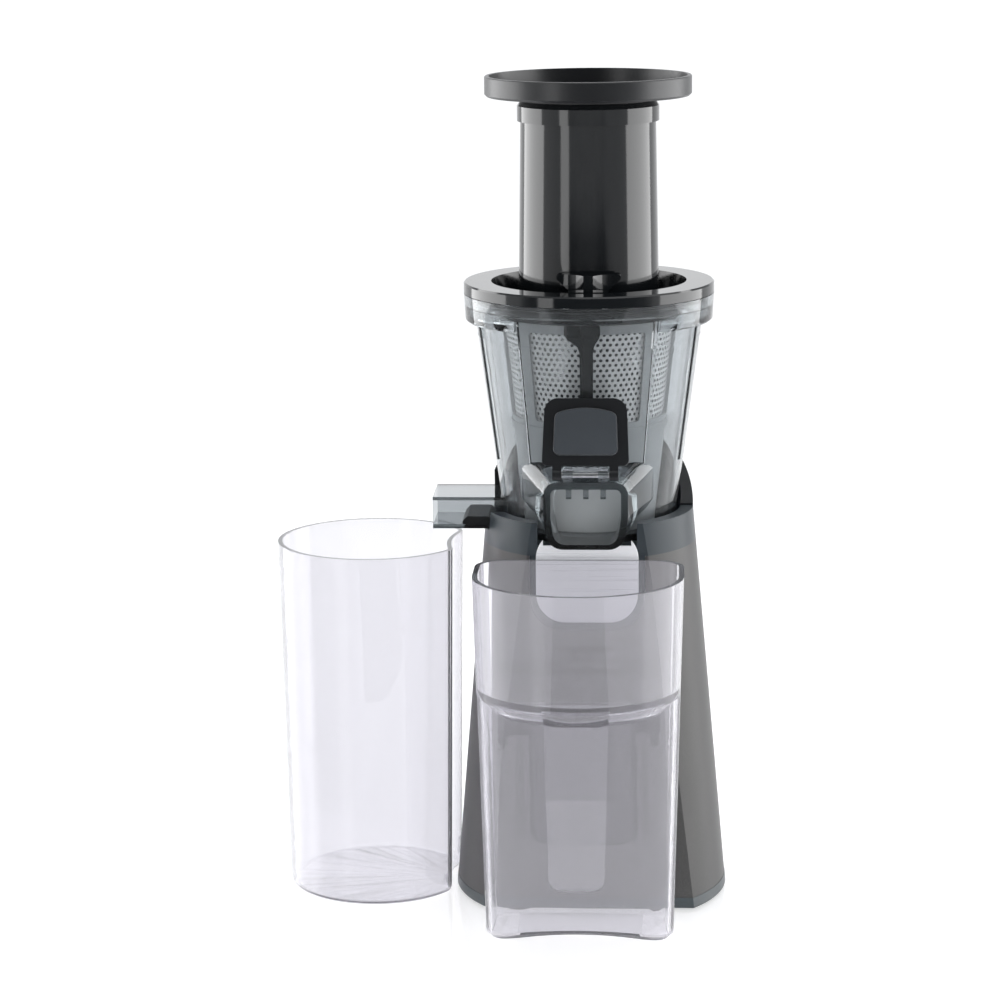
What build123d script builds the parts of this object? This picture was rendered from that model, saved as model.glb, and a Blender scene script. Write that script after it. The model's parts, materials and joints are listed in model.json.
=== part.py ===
from build123d import *
from math import acos, atan, cos, degrees, pi, radians, sin, sqrt, tan
import os

# Cold press (slow) juicer with its juice jug and pulp container, in millimetres.
# The axis of the tower, auger and feed tube is X = Y = 0 while the pieces are made.
# The front, where the juice pours, faces -Y, and the pulp leaves towards -X.

os.makedirs("parts", exist_ok=True)

# ---------------------------------------------------------------- driving dimensions

# Tower
foot_radius = 72.7  # at the floor
tower_taper = 0.0861  # loss of radius per millimetre of height
flat_front_y = -46.5  # the flat that the jug stands against
floor_gap = 2.0  # from the floor to the bottom cover
cover_bottom_z = 8.0
cover_top_z = 193.0
cover_wall = 1.2
collar_top_z = 210.0
deck_bottom_z = 194.0
deck_top_z = 198.5
gear_plate_z = 110.0
gear_plate_thickness = 3.5
leg_places = [(-44, -22), (44, -22), (-44, 22), (44, 22)]
standoff_places = [(-33, -33), (33, -33), (-32.5, 35), (32.5, 35)]
gearbox_screw_places = [(-32, -2), (32, -2), (-32, 20), (32, 20)]

# Front apron and panel
apron_half_width = 29.8
apron_bottom_z = 154.0
panel_half_width = 26.5
panel_bottom_z = 158.0
panel_top_z = 206.5

# Rear cradle, whose edge is a slanted plane
cradle_edge_z = 211.0  # at Y = 0
cradle_slope = 0.76  # rise per millimetre towards the rear

# Bowl
bowl_bottom_z = 199.0
bowl_floor = 3.5
bowl_radius_at_spout = 46.7  # at z = bowl_reference_z
bowl_reference_z = 216.0
bowl_flare = 0.131
bowl_wall = 2.5
band_bottom_z = 304.5
band_top_z = 324.0
band_radius_low = 64.3
band_radius_high = 65.3
rib_angle = 36.5  # of the front ribs, either side of the front
rib_pitch = 35.0  # from there to the next ribs round the bowl

# Spout and outlet flap
mouth_half_width = 21.5
mouth_wall = 3.5
mouth_top_z = 235.5
mouth_bottom_z = 201.3
mouth_tilt = 4.0  # the lip stands this much further out than the top
hinge_y = -69.0
hinge_z = 240.0
flap_open_lean = 17.0
flap_length = 39.0
flap_half_width = 21.3
flap_thickness = 3.2
pin_radius = 1.4

# Pulp chute
chute_end_x = -82.0
chute_half_width = 17.0
chute_bottom_z = 200.7
chute_top_z = 217.5
chute_wall = 2.0

# Strainer and auger
strainer_top_radius = 46.0  # at z = strainer_top_z
strainer_top_z = 309.0
strainer_flare = 0.111
strainer_wall = 1.6
mesh_thickness = 0.4
window_bottom_z = 261.0
window_top_z = 303.0
window_count = 8
auger_bottom_z = 205.5
auger_top_z = 304.0
auger_starts = 2
auger_twist = 330.0  # degrees that the flights turn over the auger's height

# Lid, feed tube and tray
lid_radius = 65.3
lid_bottom_z = 324.3
lid_top_z = 330.0
recess_radius = 50.9
recess_floor_z = 317.0
tube_radius_low = 36.7
tube_radius_high = 35.1
tube_rim_radius = 36.8
tube_rim_bottom_z = 413.0
tube_top_z = 423.3
tube_bore_radius = 32.4
tray_radius = 53.5
tray_bottom_z = 425.6
tray_top_z = 436.0
tray_wall = 2.2
tray_neck_radius = 32.0

# Juice jug
jug_x = -3.5
jug_half_width = 53.5
jug_back_y = -49.3
jug_front_y = -132.0
jug_height = 191.5
jug_draft = 1.5  # degrees
jug_wall = 2.6
grip_y = -96.0  # front of the body under the bulge, at the floor
grip_hollow = 9.0  # how far that front is hollowed in the middle
grip_top_z = 131.0
bulge_rise = 8.0  # height and depth of the bulge's slanted underside
handle_half_width = 16.3
handle_bottom_z = 38.0

# Pulp container
container_x = -115.8
container_y = 6.0
container_radius = 51.2
container_height = 190.0
container_draft = 0.9  # degrees
container_wall = 2.4
container_notch_radius = 73.6  # about the tower's axis, at the rim

# Motor and gears
motor_radius = 34.0
motor_bottom_z = 36.0
shaft_radius = 3.0
gear_module = 1.0
pinion_teeth = 14
wheel_teeth = 42
addendum = 0.8
dedendum = 1.05
pressure_angle = 20.0
tooth_play = 0.14  # taken off each flank
gear_spread = 0.15  # added to the centre distance
layshaft_y = gear_module * (pinion_teeth + wheel_teeth) / 2 + gear_spread
drive_radius = 6.0
hex_across_flats = 10.0
hex_top_z = 243.0
running_gap = 0.05

# Rear switch and cord gland
switch_z = 84.0
gland_z = 20.0


# ---------------------------------------------------------------- shared shapes

def tower_radius(z):
    """Outer radius of the tower at a height."""
    return foot_radius - tower_taper * z


def bowl_radius(z):
    """Outer radius of the bowl's cone at a height."""
    return bowl_radius_at_spout + bowl_flare * (z - bowl_reference_z)


def strainer_radius(z):
    """Outer radius of the strainer at a height."""
    return strainer_top_radius + strainer_flare * (z - strainer_top_z)


def tower_body(inset, z_low, z_high):
    """A slice of the tapered tower with its flat front, set in from the outer face."""
    height = z_high - z_low
    with BuildPart() as body:
        with Locations((0, 0, z_low)):
            Cone(
                tower_radius(z_low) - inset,
                tower_radius(z_high) - inset,
                height,
                align=(Align.CENTER, Align.CENTER, Align.MIN),
            )
        with Locations((0, flat_front_y + inset, z_low)):
            Box(
                4 * foot_radius,
                2 * foot_radius,
                height,
                align=(Align.CENTER, Align.MAX, Align.MIN),
                mode=Mode.SUBTRACT,
            )
    return body.part


def ring(inner, outer, z_low, z_high, places=((0, 0),)):
    """Plain bushes or rings, one at each place."""
    with BuildPart() as body:
        with BuildSketch(Plane.XY.offset(z_low)):
            with Locations(*places):
                Circle(outer)
                Circle(inner, mode=Mode.SUBTRACT)
        extrude(amount=z_high - z_low)
    return body.part


def screws(places, head_z, tip_z, head_height=2.4):
    """Pan-head screws whose heads sit under or over head_z, threads left plain."""
    towards_tip = 1 if tip_z > head_z else -1
    with BuildPart() as body:
        with BuildSketch(Plane.XY.offset(head_z)):
            with Locations(*places):
                Circle(3.4)
        extrude(amount=-towards_tip * head_height)
        with BuildSketch(Plane.XY.offset(head_z)):
            with Locations(*places):
                Circle(1.9)
        extrude(amount=tip_z - head_z)
    return body.part


def involute_angle(radius, base_radius):
    """How far an involute has turned from its base circle when it reaches a radius."""
    if radius <= base_radius:
        return 0.0
    roll = sqrt((radius / base_radius) ** 2 - 1)
    return roll - acos(base_radius / radius)


def gear(teeth, z_low, z_high, bore, phase=0.0, hub_radius=0.0, hub_top=0.0):
    """A spur gear with involute flanks, thinned for play, about the local Z axis."""
    pitch_radius = gear_module * teeth / 2
    base_radius = pitch_radius * cos(radians(pressure_angle))
    tip_radius = pitch_radius + addendum * gear_module
    root_radius = pitch_radius - dedendum * gear_module
    half_tooth = pi / (2 * teeth) - tooth_play / pitch_radius
    half_tooth += involute_angle(pitch_radius, base_radius)
    start_radius = max(base_radius, root_radius)
    flank_radii = [start_radius, (start_radius + tip_radius) / 2, tip_radius]
    if root_radius < start_radius:
        flank_radii.insert(0, root_radius)
    outline = []
    for tooth in range(teeth):
        middle = radians(phase) + 2 * pi * tooth / teeth
        turns = [half_tooth - involute_angle(radius, base_radius) for radius in flank_radii]
        rising = [(radius, middle - turn) for radius, turn in zip(flank_radii, turns)]
        falling = [(radius, middle + turn) for radius, turn in zip(flank_radii, turns)]
        for radius, angle in rising + falling[::-1]:
            outline.append((radius * cos(angle), radius * sin(angle)))
    with BuildPart() as body:
        with BuildSketch(Plane.XY.offset(z_low)):
            with BuildLine():
                Polyline(*outline, close=True)
            make_face()
            Circle(bore, mode=Mode.SUBTRACT)
        extrude(amount=z_high - z_low)
        if hub_radius > 0:
            with BuildSketch(Plane.XY.offset(z_high)):
                Circle(hub_radius)
                Circle(bore, mode=Mode.SUBTRACT)
            extrude(amount=hub_top - z_high)
    return body.part


pieces = {}

# ---------------------------------------------------------------- base of the tower

foot_places = PolarLocations(52, 4, start_angle=45)

with BuildPart() as rubber_feet:
    with BuildSketch():
        with foot_places:
            Circle(7.5)
    extrude(amount=floor_gap + 1)
    chamfer(rubber_feet.edges().group_by(Axis.Z)[0], 0.6)
pieces["rubber_feet"] = rubber_feet

vent_length = 16.0

with BuildPart() as bottom_cover:
    add(tower_body(-0.2, floor_gap, cover_bottom_z))
    fillet(bottom_cover.edges().group_by(Axis.Z)[0], 1.0)
    add(tower_body(3.6, floor_gap + 2.5, cover_bottom_z), mode=Mode.SUBTRACT)
    # Seats of the rubber feet
    with BuildSketch(Plane.XY.offset(floor_gap)):
        with foot_places:
            Circle(7.6)
    extrude(amount=1.0, mode=Mode.SUBTRACT)
    # Air slots under the motor
    with BuildSketch(Plane.XY.offset(floor_gap)):
        with PolarLocations(26, 12):
            SlotOverall(vent_length, 3.0)
    extrude(amount=2.5, mode=Mode.SUBTRACT)
    # Sunk holes of the base screws
    with BuildSketch(Plane.XY.offset(floor_gap)):
        with Locations(*leg_places):
            Circle(3.6)
    extrude(amount=1.0, mode=Mode.SUBTRACT)
    with BuildSketch(Plane.XY.offset(floor_gap)):
        with Locations(*leg_places):
            Circle(2.0)
    extrude(amount=2.5, mode=Mode.SUBTRACT)
    # Posts of the circuit board
    with BuildSketch(Plane.XY.offset(floor_gap + 2.5)):
        with Locations((-24, -36), (24, -36), (-24, -14), (24, -14)):
            Circle(2.5)
    extrude(amount=10.0)
pieces["bottom_cover"] = bottom_cover

base_screws_part = screws(leg_places, floor_gap + 1.0, 24.0, 0.9)

leg_radius = 5.0

with BuildPart() as inner_chassis:
    with BuildSketch(Plane.XY.offset(floor_gap + 2.5)):
        with Locations(*leg_places):
            Circle(leg_radius)
    extrude(amount=gear_plate_z - floor_gap - 2.5)
    # Ring that steadies the motor, tied to the four legs
    with BuildSketch(Plane.XY.offset(62)):
        Circle(motor_radius + 6.0)
        with Locations(*[(x * 0.9, y * 0.9) for x, y in leg_places]):
            Circle(leg_radius + 1.0)
        Circle(motor_radius + 0.4, mode=Mode.SUBTRACT)
    extrude(amount=6.0)
    with BuildSketch(Plane.XY.offset(floor_gap + 2.5)):
        with Locations(*leg_places):
            Circle(2.0)
    extrude(amount=gear_plate_z - floor_gap - 2.5, mode=Mode.SUBTRACT)
pieces["inner_chassis"] = inner_chassis

# ---------------------------------------------------------------- outer shell

rear_lean = degrees(atan(tower_taper))


def rear_plane(z):
    """Plane on the cover's rear face, its normal pointing out and a little up."""
    return Plane(
        origin=(0, tower_radius(z), z),
        x_dir=(-1, 0, 0),
        z_dir=(0, cos(radians(rear_lean)), sin(radians(rear_lean))),
    )


bezel_width = 31.0
bezel_height = 22.0
bezel_depth = 15.0
gland_radius = 6.0

with BuildPart() as tower_cover:
    add(tower_body(0, cover_bottom_z, cover_top_z))
    add(tower_body(cover_wall, cover_bottom_z, cover_top_z), mode=Mode.SUBTRACT)
    # Notch that the collar's apron fills
    with BuildSketch(Plane.XZ.offset(-flat_front_y + 1)) as notch:
        with BuildLine():
            Polyline(
                (-apron_half_width - 0.2, cover_top_z + 1),
                (-apron_half_width - 0.2, apron_bottom_z - 0.2),
                (apron_half_width + 0.2, apron_bottom_z - 0.2),
                (apron_half_width + 0.2, cover_top_z + 1),
                close=True,
            )
        make_face()
        fillet(notch.vertices().group_by(Axis.Y)[0], 17)
    extrude(amount=-6, mode=Mode.SUBTRACT)
    # Rear openings of the switch and the cord gland
    with BuildSketch(rear_plane(switch_z).offset(3)):
        RectangleRounded(bezel_width - 4.8, bezel_height - 4.8, 2)
    extrude(amount=-9, mode=Mode.SUBTRACT)
    with BuildSketch(rear_plane(gland_z).offset(3)):
        Circle(gland_radius + 0.1)
    extrude(amount=-9, mode=Mode.SUBTRACT)
pieces["tower_cover"] = tower_cover

spout_pass_half_width = mouth_half_width + 4.2
panel_pass_half_width = mouth_half_width + 1.3
spout_pass_z = deck_top_z
chute_pass_half_width = chute_half_width + 1.5
chute_pass_z = 200.0

with BuildPart() as collar:
    add(tower_body(0, cover_top_z, collar_top_z))
    add(tower_body(3.0, cover_top_z, collar_top_z - 2.5), mode=Mode.SUBTRACT)
    # Inner wall that stands on the deck, round the bowl's foot
    with BuildSketch(Plane.XY.offset(deck_top_z)):
        Circle(50.2)
    extrude(amount=collar_top_z - deck_top_z)
    with BuildSketch(Plane.XY.offset(cover_top_z)):
        Circle(47.8)
    extrude(amount=collar_top_z - cover_top_z, mode=Mode.SUBTRACT)
    # What the inner wall leaves in front of the flat is taken away
    with Locations((0, flat_front_y, cover_top_z)):
        Box(
            4 * foot_radius,
            foot_radius,
            2 * collar_top_z,
            align=(Align.CENTER, Align.MAX, Align.CENTER),
            mode=Mode.SUBTRACT,
        )
    # Apron that frames the front panel
    with BuildSketch(Plane.XZ.offset(-flat_front_y)) as apron:
        with BuildLine():
            Polyline(
                (-apron_half_width, collar_top_z - 6),
                (-apron_half_width, apron_bottom_z),
                (apron_half_width, apron_bottom_z),
                (apron_half_width, collar_top_z - 6),
                close=True,
            )
        make_face()
        fillet(apron.vertices().group_by(Axis.Y)[0], 17)
    extrude(amount=-2.5)
    # Dips for the spout and for the pulp chute
    with Locations((0, flat_front_y - 5, spout_pass_z)):
        Box(
            2 * spout_pass_half_width,
            30,
            40,
            align=(Align.CENTER, Align.MIN, Align.MIN),
            mode=Mode.SUBTRACT,
        )
    with Locations((-foot_radius, 0, chute_pass_z)):
        Box(
            foot_radius - 20,
            2 * chute_pass_half_width,
            40,
            align=(Align.MIN, Align.CENTER, Align.MIN),
            mode=Mode.SUBTRACT,
        )
pieces["collar"] = collar

with BuildPart() as front_panel:
    with BuildSketch(Plane.XZ.offset(-flat_front_y)):
        with Locations((0, (panel_bottom_z + panel_top_z) / 2)):
            RectangleRounded(2 * panel_half_width, panel_top_z - panel_bottom_z, 15)
    extrude(amount=1.1)
    fillet(front_panel.faces().sort_by(Axis.Y)[0].edges(), 0.5)
    with Locations((0, flat_front_y, spout_pass_z)):
        Box(
            2 * panel_pass_half_width,
            10,
            40,
            align=(Align.CENTER, Align.CENTER, Align.MIN),
            mode=Mode.SUBTRACT,
        )
pieces["front_panel"] = front_panel

cradle_outer_radius = 54.9
cradle_top_z = cradle_edge_z + cradle_slope * cradle_outer_radius

with BuildPart() as rear_cradle:
    with BuildSketch(Plane.XZ):
        with BuildLine():
            Polyline(
                (bowl_radius(collar_top_z) + 1.9, collar_top_z),
                (cradle_outer_radius - 0.3, collar_top_z),
                (cradle_outer_radius, cradle_top_z),
                (bowl_radius(cradle_top_z) + 1.4, cradle_top_z),
                close=True,
            )
        make_face()
    revolve(axis=Axis.Z)
    # Slanted edge, high at the rear and level with the collar at the sides
    slant = Plane(origin=(0, 0, cradle_edge_z), z_dir=(0, -cradle_slope, 1))
    split(bisect_by=slant, keep=Keep.BOTTOM)
    with Locations((0, 0, collar_top_z)):
        Box(
            4 * foot_radius,
            4 * foot_radius,
            cradle_top_z,
            align=(Align.CENTER, Align.MAX, Align.MIN),
            mode=Mode.SUBTRACT,
        )
    with Locations((-foot_radius, 0, chute_pass_z)):
        Box(
            foot_radius - 20,
            2 * chute_pass_half_width,
            60,
            align=(Align.MIN, Align.CENTER, Align.MIN),
            mode=Mode.SUBTRACT,
        )
pieces["rear_cradle"] = rear_cradle

# ---------------------------------------------------------------- deck and gearbox

deck_boss_radius = 13.0

with BuildPart() as drive_deck:
    add(tower_body(3.4, deck_bottom_z, deck_top_z))
    with BuildSketch(Plane.XY.offset(deck_bottom_z)):
        Circle(deck_boss_radius)
    extrude(amount=-8)
    with BuildSketch(Plane.XY.offset(deck_bottom_z - 8)):
        Circle(9.0)
    extrude(amount=30, mode=Mode.SUBTRACT)
    with BuildSketch(Plane.XY.offset(deck_bottom_z)):
        with Locations(*standoff_places):
            Circle(2.0)
    extrude(amount=10, mode=Mode.SUBTRACT)
    with BuildSketch(Plane.XY.offset(deck_top_z - 2.6)):
        with Locations(*standoff_places):
            Circle(3.6)
    extrude(amount=10, mode=Mode.SUBTRACT)
pieces["drive_deck"] = drive_deck

gearbox_top_z = 150.0
gearbox_wall = 2.5
gearbox_radius = 28.0
gear_plate_top_z = gear_plate_z + gear_plate_thickness
bearing_seat_z = gearbox_top_z
bearing_height = 8.0
bearing_radius = 11.0

with BuildPart() as gear_plate:
    add(tower_body(cover_wall + 1.5, gear_plate_z, gear_plate_top_z))
    with BuildSketch(Plane.XY.offset(gear_plate_z)):
        Circle(10.0)
        with Locations((0, layshaft_y)):
            Circle(5.0)
        with Locations(*standoff_places, *leg_places, *gearbox_screw_places):
            Circle(2.0)
        with PolarLocations(20, 4, start_angle=45):
            Circle(2.0)
    extrude(amount=gear_plate_thickness, mode=Mode.SUBTRACT)
pieces["gear_plate"] = gear_plate

with BuildPart() as deck_standoffs:
    with BuildSketch(Plane.XY.offset(gear_plate_top_z)):
        with Locations(*standoff_places):
            RegularPolygon(4.4, 6)
    extrude(amount=deck_bottom_z - gear_plate_top_z)
    with BuildSketch(Plane.XY.offset(gear_plate_z)):
        with Locations(*standoff_places):
            Circle(1.95)
    extrude(amount=gear_plate_thickness)
    with BuildSketch(Plane.XY.offset(deck_bottom_z - 14)):
        with Locations(*standoff_places):
            Circle(2.0)
    extrude(amount=14, mode=Mode.SUBTRACT)
pieces["deck_standoffs"] = deck_standoffs

with BuildPart() as gearbox_cover:
    with BuildSketch(Plane.XY.offset(gear_plate_top_z)):
        with Locations((0, layshaft_y / 2)):
            SlotCenterToCenter(layshaft_y, 2 * gearbox_radius, rotation=90)
    extrude(amount=gearbox_top_z - gear_plate_top_z)
    fillet(gearbox_cover.edges().group_by(Axis.Z)[-1], 1.5)
    with BuildSketch(Plane.XY.offset(gear_plate_top_z)):
        with Locations(*gearbox_screw_places):
            Circle(5.5)
    extrude(amount=3.0)
    with BuildSketch(Plane.XY.offset(gearbox_top_z - 1)):
        Circle(bearing_radius + 3)
        with Locations((0, layshaft_y)):
            Circle(8.0)
    extrude(amount=1 + bearing_height)
    with BuildSketch(Plane.XY.offset(gear_plate_top_z)):
        with Locations((0, layshaft_y / 2)):
            SlotCenterToCenter(layshaft_y, 2 * (gearbox_radius - gearbox_wall), rotation=90)
    extrude(amount=gearbox_top_z - gearbox_wall - gear_plate_top_z, mode=Mode.SUBTRACT)
    with BuildSketch(Plane.XY.offset(gear_plate_top_z)):
        with Locations(*gearbox_screw_places):
            Circle(2.0)
        Circle(8.0)
    extrude(amount=60, mode=Mode.SUBTRACT)
    with BuildSketch(Plane.XY.offset(bearing_seat_z)):
        Circle(bearing_radius)
    extrude(amount=bearing_height, mode=Mode.SUBTRACT)
    with BuildSketch(Plane.XY.offset(gearbox_top_z - gearbox_wall)):
        with Locations((0, layshaft_y)):
            Circle(5.0)
    extrude(amount=gearbox_wall + bearing_height, mode=Mode.SUBTRACT)
pieces["gearbox_cover"] = gearbox_cover

# ---------------------------------------------------------------- motor

motor_wall = 2.0
core_bottom_z = 56.0
core_top_z = 94.0

with BuildPart() as motor_can:
    with BuildSketch(Plane.XY.offset(motor_bottom_z)):
        Circle(motor_radius)
    extrude(amount=gear_plate_z - motor_bottom_z)
    with BuildSketch(Plane.XY.offset(motor_bottom_z)):
        Circle(motor_radius - motor_wall)
    extrude(amount=gear_plate_z - motor_bottom_z - 3, mode=Mode.SUBTRACT)
    with BuildSketch(Plane.XY.offset(motor_bottom_z)):
        Circle(6.0)
        with PolarLocations(20, 4, start_angle=45):
            Circle(2.0)
    extrude(amount=gear_plate_z, mode=Mode.SUBTRACT)
    # Air windows round the brushes
    with PolarLocations(motor_radius, 6):
        with Locations((0, 0, 46)):
            Box(8, 14, 9, mode=Mode.SUBTRACT)
pieces["motor_can"] = motor_can

with BuildPart() as motor_end_bell:
    with BuildSketch(Plane.XY.offset(motor_bottom_z - 3)):
        Circle(motor_radius)
        Circle(6.0, mode=Mode.SUBTRACT)
        with PolarLocations(20, 6):
            SlotOverall(10, 5, rotation=90, mode=Mode.SUBTRACT)
    extrude(amount=3)
pieces["motor_end_bell"] = motor_end_bell

with BuildPart() as stator_core:
    with BuildSketch(Plane.XY.offset(core_bottom_z)):
        Circle(motor_radius - motor_wall)
        Circle(22.2, mode=Mode.SUBTRACT)
        with PolarLocations(27, 2):
            SlotOverall(18, 6, rotation=90, mode=Mode.SUBTRACT)
    extrude(amount=core_top_z - core_bottom_z)
pieces["stator_core"] = stator_core

with BuildPart() as motor_shaft:
    with BuildSketch(Plane.XY.offset(22)):
        Circle(shaft_radius)
    extrude(amount=126 - 22)
pieces["motor_shaft"] = motor_shaft

with BuildPart() as rotor_core:
    with BuildSketch(Plane.XY.offset(core_bottom_z)):
        Circle(21.6)
        with PolarLocations(19.5, 12):
            RectangleRounded(7, 3, 1, mode=Mode.SUBTRACT)
        Circle(shaft_radius, mode=Mode.SUBTRACT)
    extrude(amount=core_top_z - core_bottom_z)
pieces["rotor_core"] = rotor_core

with BuildPart() as commutator:
    with BuildSketch(Plane.XY.offset(40)):
        Circle(10.0)
        Circle(shaft_radius, mode=Mode.SUBTRACT)
        with PolarLocations(10, 12):
            Rectangle(1.6, 0.7, mode=Mode.SUBTRACT)
    extrude(amount=12)
pieces["commutator"] = commutator

with BuildPart() as cooling_fan:
    with BuildSketch(Plane.XY.offset(29.5)):
        Circle(27.0)
        Circle(shaft_radius, mode=Mode.SUBTRACT)
    extrude(amount=1.5)
    with BuildSketch(Plane.XY.offset(23)):
        Circle(7.0)
        Circle(shaft_radius, mode=Mode.SUBTRACT)
        with PolarLocations(16.5, 9):
            Rectangle(19, 1.4, rotation=18)
    extrude(amount=6.5)
pieces["cooling_fan"] = cooling_fan

# ---------------------------------------------------------------- gear train

wheel_low_z = 116.0
wheel_high_z = 124.0
output_low_z = 128.0
output_high_z = 142.0
half_pinion_pitch = 180.0 / pinion_teeth

motor_pinion_part = gear(
    pinion_teeth, wheel_low_z - 1, wheel_high_z + 1, shaft_radius, phase=half_pinion_pitch
)
layshaft_wheel_part = gear(wheel_teeth, wheel_low_z, wheel_high_z, shaft_radius).moved(
    Location((0, layshaft_y, 0))
)
layshaft_pinion_part = gear(
    pinion_teeth, output_low_z - 1, output_high_z + 1, shaft_radius, phase=half_pinion_pitch
).moved(Location((0, layshaft_y, 0)))
output_gear_part = gear(
    wheel_teeth,
    output_low_z,
    output_high_z,
    drive_radius,
    hub_radius=9.5,
    hub_top=output_high_z + 4,
)

with BuildPart() as layshaft:
    with BuildSketch(Plane.XY.offset(gear_plate_z + 0.2)):
        with Locations((0, layshaft_y)):
            Circle(shaft_radius)
    extrude(amount=gearbox_top_z + 6 - gear_plate_z)
pieces["layshaft"] = layshaft

round_top_z = 202.0

with BuildPart() as drive_shaft:
    with BuildSketch(Plane.XY.offset(output_low_z - 0.5)):
        Circle(drive_radius)
    extrude(amount=round_top_z - output_low_z + 0.5)
    with BuildSketch(Plane.XY.offset(round_top_z)):
        RegularPolygon(hex_across_flats / 2, 6, major_radius=False)
    extrude(amount=hex_top_z - round_top_z)
    chamfer(drive_shaft.edges().group_by(Axis.Z)[-1], 0.8)
pieces["drive_shaft"] = drive_shaft

bush_inner = shaft_radius + running_gap
layshaft_place = ((0, layshaft_y),)

with BuildPart() as motor_bushes:
    add(ring(bush_inner, 6.0, motor_bottom_z - 3, motor_bottom_z + 2))
    add(ring(bush_inner, 6.0, gear_plate_z - 5, gear_plate_z))
pieces["motor_bushes"] = motor_bushes

with BuildPart() as layshaft_bushes:
    add(ring(bush_inner, 5.0, gear_plate_z, gear_plate_top_z, layshaft_place))
    add(ring(bush_inner, 5.0, gearbox_top_z - gearbox_wall, gearbox_top_z + 5, layshaft_place))
pieces["layshaft_bushes"] = layshaft_bushes

with BuildPart() as output_bearing:
    add(ring(drive_radius + running_gap, bearing_radius, bearing_seat_z, bearing_seat_z + 8))
    for face_z in (bearing_seat_z, bearing_seat_z + 7.2):
        with BuildSketch(Plane.XY.offset(face_z)):
            Circle(9.6)
            Circle(7.6, mode=Mode.SUBTRACT)
        extrude(amount=0.8, mode=Mode.SUBTRACT)
pieces["output_bearing"] = output_bearing

with BuildPart() as shaft_seal:
    add(ring(drive_radius + running_gap, 9.0, deck_bottom_z - 8, deck_top_z))
    with BuildSketch(Plane.XY.offset(deck_top_z - 2)):
        Circle(8.2)
        Circle(7.0, mode=Mode.SUBTRACT)
    extrude(amount=2, mode=Mode.SUBTRACT)
pieces["shaft_seal"] = shaft_seal

# ---------------------------------------------------------------- board, switch, gland

with BuildPart() as circuit_board:
    with BuildSketch(Plane.XY.offset(floor_gap + 12.5)):
        with Locations((0, -25)):
            RectangleRounded(56, 30, 2)
    extrude(amount=1.6)
    with BuildSketch(Plane.XY.offset(floor_gap + 14.1)):
        with Locations((-14, -36)):
            Rectangle(16, 9)
        with Locations((12, -36)):
            Circle(4.5)
    extrude(amount=5.5)
pieces["circuit_board"] = circuit_board

rocker_half_width = bezel_width / 2 - 4.4
rocker_half_height = 6.7
rocker_pivot_depth = 3.4
rocker_pin_radius = 1.2
rocker_pin_half_length = bezel_width / 2 - 3.0
rocker_section = Plane(
    origin=rear_plane(switch_z).origin,
    x_dir=(0, -sin(radians(rear_lean)), cos(radians(rear_lean))),
    z_dir=(-1, 0, 0),
)

with BuildPart() as switch_bezel:
    with BuildSketch(rear_plane(switch_z)):
        RectangleRounded(bezel_width, bezel_height, 3)
    extrude(amount=2.2)
    fillet(switch_bezel.faces().sort_by(Axis.Y)[-1].edges(), 0.8)
    with BuildSketch(rear_plane(switch_z)):
        RectangleRounded(bezel_width - 5, bezel_height - 5, 2)
    extrude(amount=-bezel_depth + 2.2)
    with BuildSketch(rear_plane(switch_z).offset(3)):
        Rectangle(bezel_width - 8, bezel_height - 6.2)
    extrude(amount=-12, mode=Mode.SUBTRACT)
    # Sockets of the rocker's pins
    with BuildSketch(rocker_section):
        with Locations((0, -rocker_pivot_depth)):
            Circle(rocker_pin_radius + running_gap)
    extrude(amount=bezel_width / 2 - 2.5, both=True, mode=Mode.SUBTRACT)
pieces["switch_bezel"] = switch_bezel

with BuildPart() as switch_rocker:
    # In this section x runs up the cover's face and y runs out of the tower
    with BuildSketch(rocker_section) as rocker_outline:
        with BuildLine():
            Polyline(
                (-rocker_half_height, -3.0),
                (-rocker_half_height, 0.9),
                (0, -0.4),
                (rocker_half_height, 0.9),
                (rocker_half_height, -3.0),
                (3.0, -6.8),
                (-3.0, -6.8),
                close=True,
            )
        make_face()
    extrude(amount=rocker_half_width, both=True)
    with BuildSketch(rocker_section):
        with Locations((0, -rocker_pivot_depth)):
            Circle(rocker_pin_radius)
    extrude(amount=rocker_pin_half_length, both=True)
pieces["switch_rocker"] = switch_rocker

with BuildPart() as cord_gland:
    with BuildSketch(rear_plane(gland_z).offset(-7)):
        Circle(gland_radius)
    extrude(amount=7)
    with BuildSketch(rear_plane(gland_z).offset(0.3)):
        Circle(gland_radius + 2.4)
    extrude(amount=2.0)
    with BuildSketch(rear_plane(gland_z)):
        Circle(gland_radius)
    extrude(amount=0.3)
    with BuildSketch(rear_plane(gland_z).offset(-8)):
        Circle(3.2)
    extrude(amount=12, mode=Mode.SUBTRACT)
pieces["cord_gland"] = cord_gland

# ---------------------------------------------------------------- bowl

bowl_floor_z = bowl_bottom_z + bowl_floor
boss_radius = 9.0
boss_bore = 6.7
boss_top_z = 216.0
band_wall = 2.6


def mouth_section(plane, low_width, high_width, z_low, z_high, low_radius, high_radius):
    """A rounded outline of the spout between two half widths, full width from its middle up."""
    z_middle = (z_low + z_high) / 2
    with BuildSketch(plane) as section:
        with BuildLine():
            Polyline(
                (-low_width, z_low),
                (low_width, z_low),
                (high_width, z_middle),
                (high_width, z_high),
                (-high_width, z_high),
                (-high_width, z_middle),
                close=True,
            )
        make_face()
        fillet(section.vertices().group_by(Axis.Y)[0], low_radius)
        fillet(section.vertices().group_by(Axis.Y)[-1], high_radius)
    return section.sketch


mouth_plane_top_y = hinge_y + 2.3
mouth_lip_y = mouth_plane_top_y - (mouth_top_z - mouth_bottom_z) * tan(radians(mouth_tilt))
spout_root_y = -36.0

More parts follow.
